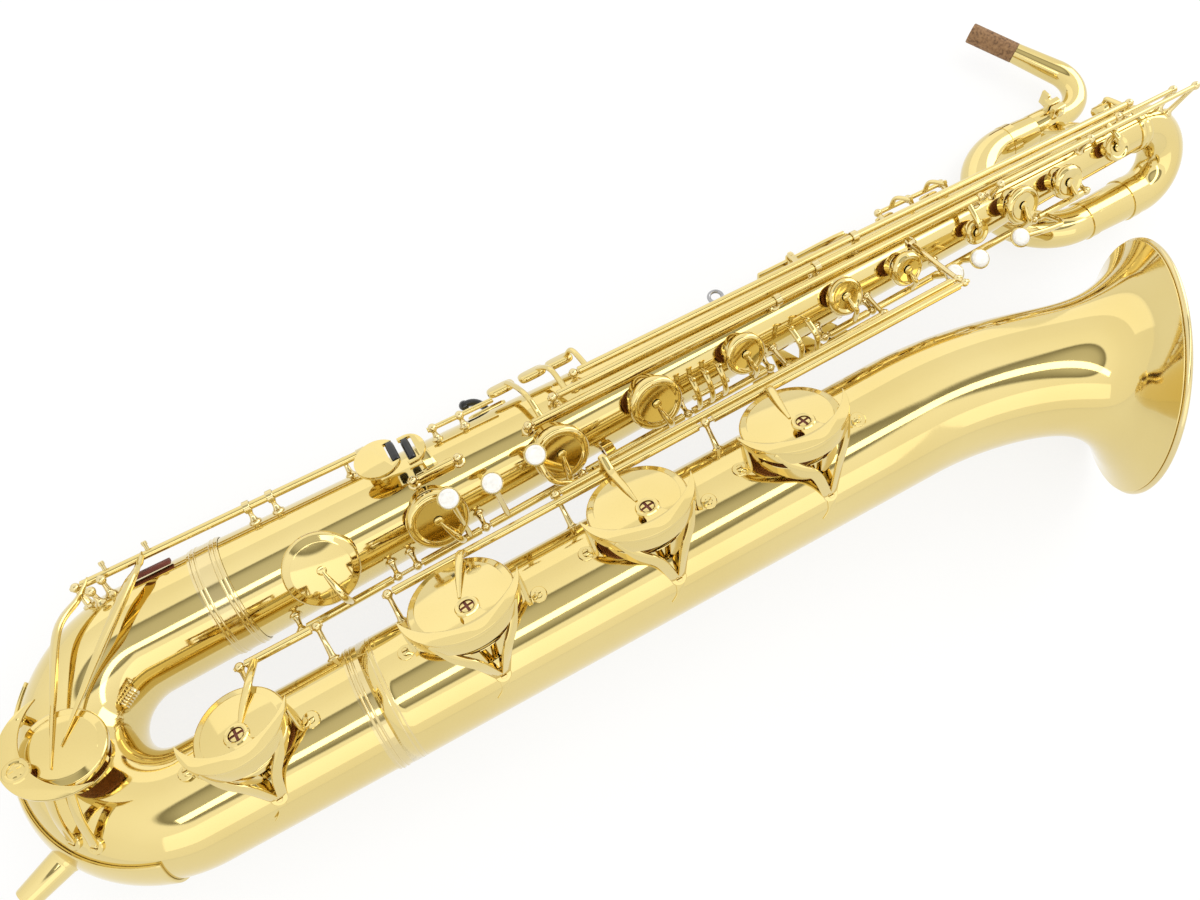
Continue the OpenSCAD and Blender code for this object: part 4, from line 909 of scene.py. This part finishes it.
def posts():
    shapes = []
    for tube, phi, h, xs, guides in ROD_LINES:
        for x in xs:
            if x != BRACKET_X:
                shapes += [post_stem(tube, phi, x, h - 2.2), ball(on_tube(tube, phi, x, h), BALL_R)]
        for x in guides:
            shapes += guide(tube, phi, x, h)
    ends = [on_tube(ON_BELL, -54, BRACKET_X, 21), on_tube(ON_BELL, -60, BRACKET_X, 25)]
    foot = on_tube(ON_BODY, 30, BRACKET_X, 0)
    shapes += [ball(p, BALL_R - 0.4) for p in ends]
    reach = (ends[1] - foot).length
    prop = [(0, -3), (4.6, -3), (4.6, 1), (2.4, 2.4), (2.1, 10), (2, reach), (0, reach)]
    shapes += [rod(ends[0], ends[1], 2), lathe(aimed(foot, ends[1] - foot), prop, 32)]
    end, foot = c_line(-21.9), on_bow(102.2, 40.5, 0)
    reach = (end - foot).length - 2
    prop = [(0, -1), (5, -1), (5, 1), (3, 2), (1.9, reach), (0, reach)]
    shapes += [ball(end, BALL_R), lathe(aimed(foot, end - foot), prop, 32)]
    cheek = [(-2.5, -12.5), (2.5, -12.5), (2.5, 1), (1.5, 3), (-1.5, 3), (-2.5, 1)]
    cheek = [(OCTAVE_X + x, OCTAVE_Y + y) for x, y in cheek]
    for z in (-7.2, 7.2):
        shapes.append(plate(Matrix.Translation((0, 0, z - 1.5)), cheek, 3, 0.4))
    piece("post_balls_and_stems", "body", PALE, shapes, ["posts"])


def rods():
    shapes = []
    for tube, phi, h, xs, _ in ROD_LINES[:-1]:
        shapes.append(rod(on_tube(tube, phi, xs[0] - 3.9, h), on_tube(tube, phi, xs[-1] + 3.9, h), ROD_R))
    shapes.append(rod(Vector((OCTAVE_X, OCTAVE_Y, -8.9)), Vector((OCTAVE_X, OCTAVE_Y, 8.9)), ROD_R))
    shapes.append(rod(c_line(-25.5), c_line(199.3), ROD_R))
    piece("steel_rods", "body", PALE, shapes, ["hinge_rods"])


# Transfer rods and levers between the stacks

# Each row is a tube, the angle round it, the height above it, both ends and the posts.
TRANSFER_RODS = [
    (ON_BODY, 2, 12, 828, 880, []),
    (ON_BODY, 16, 18, 697, 893, [700, 787]),
    (ON_BODY, 82, 21, 484, 578, [488, 574]),
    (ON_BODY, -84, 12, 625, 690, [628, 656, 687]),
    (ON_BODY, -56, 11, -15, 176, [172]),
    (ON_BODY, -36, 9, 233, 284, [237, 258]),
]


def stem(foot, head):
    """A turned stem on a soldered foot, up to a ball."""
    length = (head - foot).length
    profile = [(0, -2), (4.2, -2), (4.2, 0.7), (3.8, 1.3), (2.8, 2), (2.2, 3.4), (1.8, length * 0.6)]
    profile += [(1.8, length - 1), (0, length - 1)]
    return [lathe(aimed(foot, head - foot), profile, 32), ball(head, BALL_R)]


def lever(points, wide, up):
    return swept(curved([(p, wide, 3.4) for p in points]), up, sides=20)


def pin(foot, head, r=1.7):
    """A set screw with a rounded head."""
    length = (head - foot).length
    profile = [(0, 0), (r - 0.5, 0), (r - 0.5, length - 3), (r, length - 2.8), (r, length - 0.5)]
    profile += [(r - 0.6, length), (0, length)]
    return lathe(aimed(foot, head - foot), profile, 24)


def transfer_rods():
    shapes, bars = [], []
    for tube, phi, h, start, end, xs in TRANSFER_RODS:
        bars.append(rod(on_tube(tube, phi, start, h), on_tube(tube, phi, end, h), 1.9))
        for x in xs:
            shapes += stem(on_tube(tube, phi, x, 0), on_tube(tube, phi, x, h))
    for phi, h, x, turn in ((2, 12, 880, -60), (16, 18, 893, -46)):
        head, middle = on_tube(ON_BODY, phi, x, h), crook_axis(radians(turn))
        shapes += stem(middle + 17 * (head - middle).normalized(), head)
    for x in (500, 514):
        path = [on_tube(ON_BODY, 82, x, 21), on_tube(ON_BODY, 66, x + 1, 20), on_tube(ON_BODY, 50, x, 12)]
        bars.append(lever(path, 4.6, outward(66)))
        bars.append(pin(on_tube(ON_BODY, 50, x, 4), on_tube(ON_BODY, 50, x, 15)))
    for x in (640, 672):
        bends = ((-84, x, 12), (-70, x + 3, 14), (-52, x + 8, 7))
        path = [on_tube(ON_BODY, *bend) for bend in bends]
        bars.append(lever(path, 5, outward(-70)))
        bars.append(pin(on_tube(ON_BODY, -52, x + 8, 2), on_tube(ON_BODY, -52, x + 8, 10)))
    for x in (100, 117):
        shapes += guide(ON_BODY, C_LINE_PHI, x, C_LINE_H)
    for turn, tilt, h in ((92, 50, 12), (97, 57, 11)):
        shapes += stem(on_bow(turn, tilt, 0), on_bow(turn, tilt, h))
    across = on_bow(126, 150, 3) - on_bow(120, 150, 3)
    beads = [(0, 0), (3.4, 0)] + [(4.3 if i % 2 else 3.6, 0.8 + i) for i in range(12)] + [(3.4, 13), (0, 13)]
    shapes.append(lathe(aimed(on_bow(118, 150, 3.2), across), beads, 32))
    piece("transfer_posts", "body", PALE, shapes)
    piece("transfer_levers", "body", LACQUER, bars)
    felt = [(on_tube(ON_BODY, -42, x, 2.4), 6, 3.2) for x in (12, 40)]
    piece("low_c_stop_felt", "body", FELT, [strap(felt, outward(-42), 0.8)])


def adjusting_arms():
    """The arms with set screws by which F carries F sharp, and the set screws of the low C key."""
    bars = [rod(on_tube(ON_BODY, 62, 410, 14.5), on_tube(ON_BODY, 62, 440, 14.5), 2)]
    for x in (414, 425, 436):
        path = [on_tube(ON_BODY, phi, x, h) for phi, h in ((88, 12), (72, 16), (56, 15), (42, 11))]
        bars.append(lever(path, 4.4, outward(62)))
        bars.append(pin(on_tube(ON_BODY, 43, x, 6), on_tube(ON_BODY, 43, x, 16)))
    piece("f_adjusting_arms", "f_sharp", LACQUER, bars, rest=at_rest(KEY["f_sharp"]))
    pins = [pin(c_line(x), c_line(x) + 9 * outward(C_LINE_PHI), 2) for x in (0, 30)]
    piece("low_c_set_screws", "low_c", PALE, pins, rest=c_swung())


# Small fittings


def octave_lever():
    widths = ((515, 10), (OCTAVE_X, 9), (580, 10), (595, 8))
    bar = strap(curved([(Vector((x, OCTAVE_Y - 0.5, 0)), wide, 3) for x, wide in widths]), (0, 1, 0), 0.7)
    knuckle = [(1.6, -5), (3.7, -5), (4, -4.7), (4, 4.7), (3.7, 5), (1.6, 5)]
    hub = lathe(Matrix.Translation((OCTAVE_X, OCTAVE_Y, 0)), knuckle, 32, closed=True)
    piece("octave_lever_bar", "octave_lever", LACQUER, [bar, hub], ["octave_lever"])


TABLE_PHI, TABLE_H, TABLE_X, TABLE_PITCH = 165, 10, 470, 23


def table_touches():
    """The touches of the left little finger."""
    for i, name in enumerate(("g_sharp_touch", "c_sharp_touch", "b_touch", "b_flat_touch")):
        x = TABLE_X + TABLE_PITCH * i
        a, b = on_tube(ON_BODY, TABLE_PHI, x, TABLE_H), on_tube(ON_BODY, TABLE_PHI, x + 22.5, TABLE_H)
        tube = hinge_tube(a, b)
        end = on_tube(ON_BODY, 133, x + 11.25, 16)
        stations = [((a + b) / 2, 8, 3), ((a + b).lerp(2 * end, 0.55) / 2, 15, 3)]
        stations += [(end.lerp((a + b) / 2, 0.06), 20, 3)]
        leaf = strap(curved(stations), outward(150), 0.8)
        piece(name + "_leaf", name, LACQUER, [tube, leaf], [name])


THUMB_PHI, THUMB_X = -72, 268


def thumb_hook():
    """A hook for the right thumb on its base plate."""
    foot = Matrix.Translation(on_tube(ON_BODY, THUMB_PHI, THUMB_X, 0))
    place = foot @ Matrix.Rotation(radians(THUMB_PHI), 4, "X")
    base = [(-4, -4), (-1, -7), (23, -7), (26, -4), (26, 4), (23, 7), (-1, 7), (-4, 4)]
    hook = []
    for q in range(-10, 101, 10):
        at = Vector((11 * cos(radians(q)), 0, 1 + 11 * sin(radians(q))))
        hook.append((place @ at, 11 - q * 0.03, 5.4))
    hub = place @ Vector((0, 0, 1))
    piece("thumb_hook_base", "body", LACQUER, [plate(place @ Matrix.Translation((0, 0, -1.5)), base, 3, 0.8)])
    curl = swept(hook, lambda p: p - hub, sides=28)
    knob = [(0, 3.4), (2.4, 2.7), (3.6, 1.2), (3.9, 0), (3.6, -1.2), (2.4, -2.7), (0, -3.4)]
    tip = lathe(aimed(hook[-1][0], place.to_3x3() @ Vector((0, 1, 0))), [(r, z * 1.25) for r, z in knob], 32)
    piece("thumb_hook_moulded", "body", BLACK, [curl, tip], ["thumb_hook"])


def fittings():
    thumb_hook()
    polished("bow_guard", "body", LACQUER, 0.6)
    polished("bell_brace", "body", LACQUER, 0.4)
    polished("neck_receiver", "body", LACQUER, 0.4)
    polished("clamp_screw", "clamp_screw", LACQUER, 0.4)
    polished("strap_ring", "body", NICKEL, 0.3)


# Stage: camera, floor, light


PHOTO_W, FOCAL_PX, SENSOR = 1200, 1065, 36
EYE, AHEAD, RIGHT = (210.1, -365.3, 685.1), (0.164, 0.43, -0.888), (0.873, -0.482, -0.072)
ROOM_LIGHT = 1.28
CEILING = Vector((-0.05, -0.19, 0.98)).normalized()
CEILING_TONES = [
    (0.0, (0.84, 0.83, 0.79)), (0.60, (0.90, 0.89, 0.86)), (0.88, (0.97, 0.97, 0.96)),
    (0.90, (0.22, 0.21, 0.17)), (0.92, (0.32, 0.31, 0.26)), (0.96, (0.52, 0.51, 0.46)),
    (1.0, (0.58, 0.57, 0.52)),
]


def camera():
    """The photograph's viewpoint, found in the instrument's own frame."""
    ahead, right = Vector(AHEAD).normalized(), Vector(RIGHT)
    right = (right - ahead * right.dot(ahead)).normalized()
    turn = (LIE.to_3x3() * 1000) @ Matrix((right, right.cross(ahead), -ahead)).transposed()
    data = bpy.data.cameras.new("camera")
    data.sensor_width = SENSOR
    data.lens = FOCAL_PX / PHOTO_W * SENSOR
    data.clip_start = 0.01
    obj = bpy.data.objects.new("camera", data)
    obj.matrix_world = Matrix.Translation(LIE @ Vector(EYE)) @ turn.to_4x4()
    bpy.context.scene.collection.objects.link(obj)
    bpy.context.scene.camera = obj


def seen(nodes, links):
    """1 for rays from the camera and from mirrors and glass, 0 for those that light the scene."""
    path = nodes.new("ShaderNodeLightPath")
    total = path.outputs["Is Camera Ray"]
    for ray in ("Is Glossy Ray", "Is Transmission Ray"):
        add = nodes.new("ShaderNodeMath")
        add.operation = "MAXIMUM"
        links.new(total, add.inputs[0])
        links.new(path.outputs[ray], add.inputs[1])
        total = add.outputs[0]
    return total


def floor():
    material = bpy.data.materials.new("studio_floor")
    material.use_nodes = True
    nodes, links = material.node_tree.nodes, material.node_tree.links
    nodes.remove(nodes["Principled BSDF"])
    matt = nodes.new("ShaderNodeBsdfDiffuse")
    matt.inputs["Color"].default_value = (0.93, 0.93, 0.925, 1)
    glow = nodes.new("ShaderNodeEmission")
    glow.inputs["Color"].default_value = (1, 1, 1, 1)
    share = nodes.new("ShaderNodeMath")
    share.operation = "MULTIPLY"
    share.inputs[1].default_value = 0.8
    links.new(seen(nodes, links), share.inputs[0])
    mix = nodes.new("ShaderNodeMixShader")
    links.new(share.outputs[0], mix.inputs[0])
    links.new(matt.outputs[0], mix.inputs[1])
    links.new(glow.outputs[0], mix.inputs[2])
    links.new(mix.outputs[0], nodes["Material Output"].inputs["Surface"])
    bm = bmesh.new()
    bmesh.ops.create_grid(bm, x_segments=2, y_segments=2, size=8)
    mesh = bpy.data.meshes.new("floor")
    bm.to_mesh(mesh)
    bm.free()
    obj = bpy.data.objects.new("floor", mesh)
    mesh.materials.append(material)
    bpy.context.scene.collection.objects.link(obj)


def softbox(name, at, toward, size, watts):
    data = bpy.data.lights.new(name, "AREA")
    data.shape = "RECTANGLE"
    data.size, data.size_y = size
    data.energy = watts
    obj = bpy.data.objects.new(name, data)
    obj.matrix_world = aimed(at, Vector(at) - Vector(toward))
    bpy.context.scene.collection.objects.link(obj)


def studio():
    """A white room with a dull ceiling, a strip light on it and soft boxes at the sides."""
    world = bpy.data.worlds.new("studio")
    bpy.context.scene.world = world
    world.use_nodes = True
    nodes, links = world.node_tree.nodes, world.node_tree.links
    place = nodes.new("ShaderNodeTexCoord")
    upward = nodes.new("ShaderNodeVectorMath")
    upward.operation = "DOT_PRODUCT"
    upward.inputs[1].default_value = CEILING
    links.new(place.outputs["Generated"], upward.inputs[0])
    ceiling = ramp(nodes, links, upward.outputs["Value"], CEILING_TONES)
    path = nodes.new("ShaderNodeLightPath")
    plain = nodes.new("ShaderNodeMix")
    plain.data_type = "RGBA"
    plain.inputs["B"].default_value = (1 / ROOM_LIGHT, 1 / ROOM_LIGHT, 1 / ROOM_LIGHT, 1)
    nodes["Background"].inputs["Strength"].default_value = ROOM_LIGHT
    links.new(path.outputs["Is Camera Ray"], plain.inputs["Factor"])
    links.new(ceiling.outputs["Color"], plain.inputs["A"])
    links.new(plain.outputs["Result"], nodes["Background"].inputs["Color"])
    softbox("strip_light", (0.1, -0.56, 1.5), (0.05, -0.05, 0), (2.4, 0.26), 4.6)
    softbox("far_softbox", (0.15, 1.5, 0.5), (0.05, -0.05, 0.05), (2.6, 0.9), 1.8)
    softbox("front_softbox", (-0.3, -1.5, 0.9), (0, 0, 0), (2.4, 0.8), 2)
    softbox("end_softbox", (1.5, 0.2, 0.9), (0.1, 0, 0), (0.8, 1.2), 6)
    bpy.context.scene.view_settings.view_transform = "Standard"


camera()
floor()
studio()
body_tube()
bow()
bell()
ferrules()
peg_socket()
crook()
neck()
keys()
low_c()
e_flat_lever()
guards()
posts()
rods()
transfer_rods()
adjusting_arms()
octave_lever()
table_touches()
fittings()
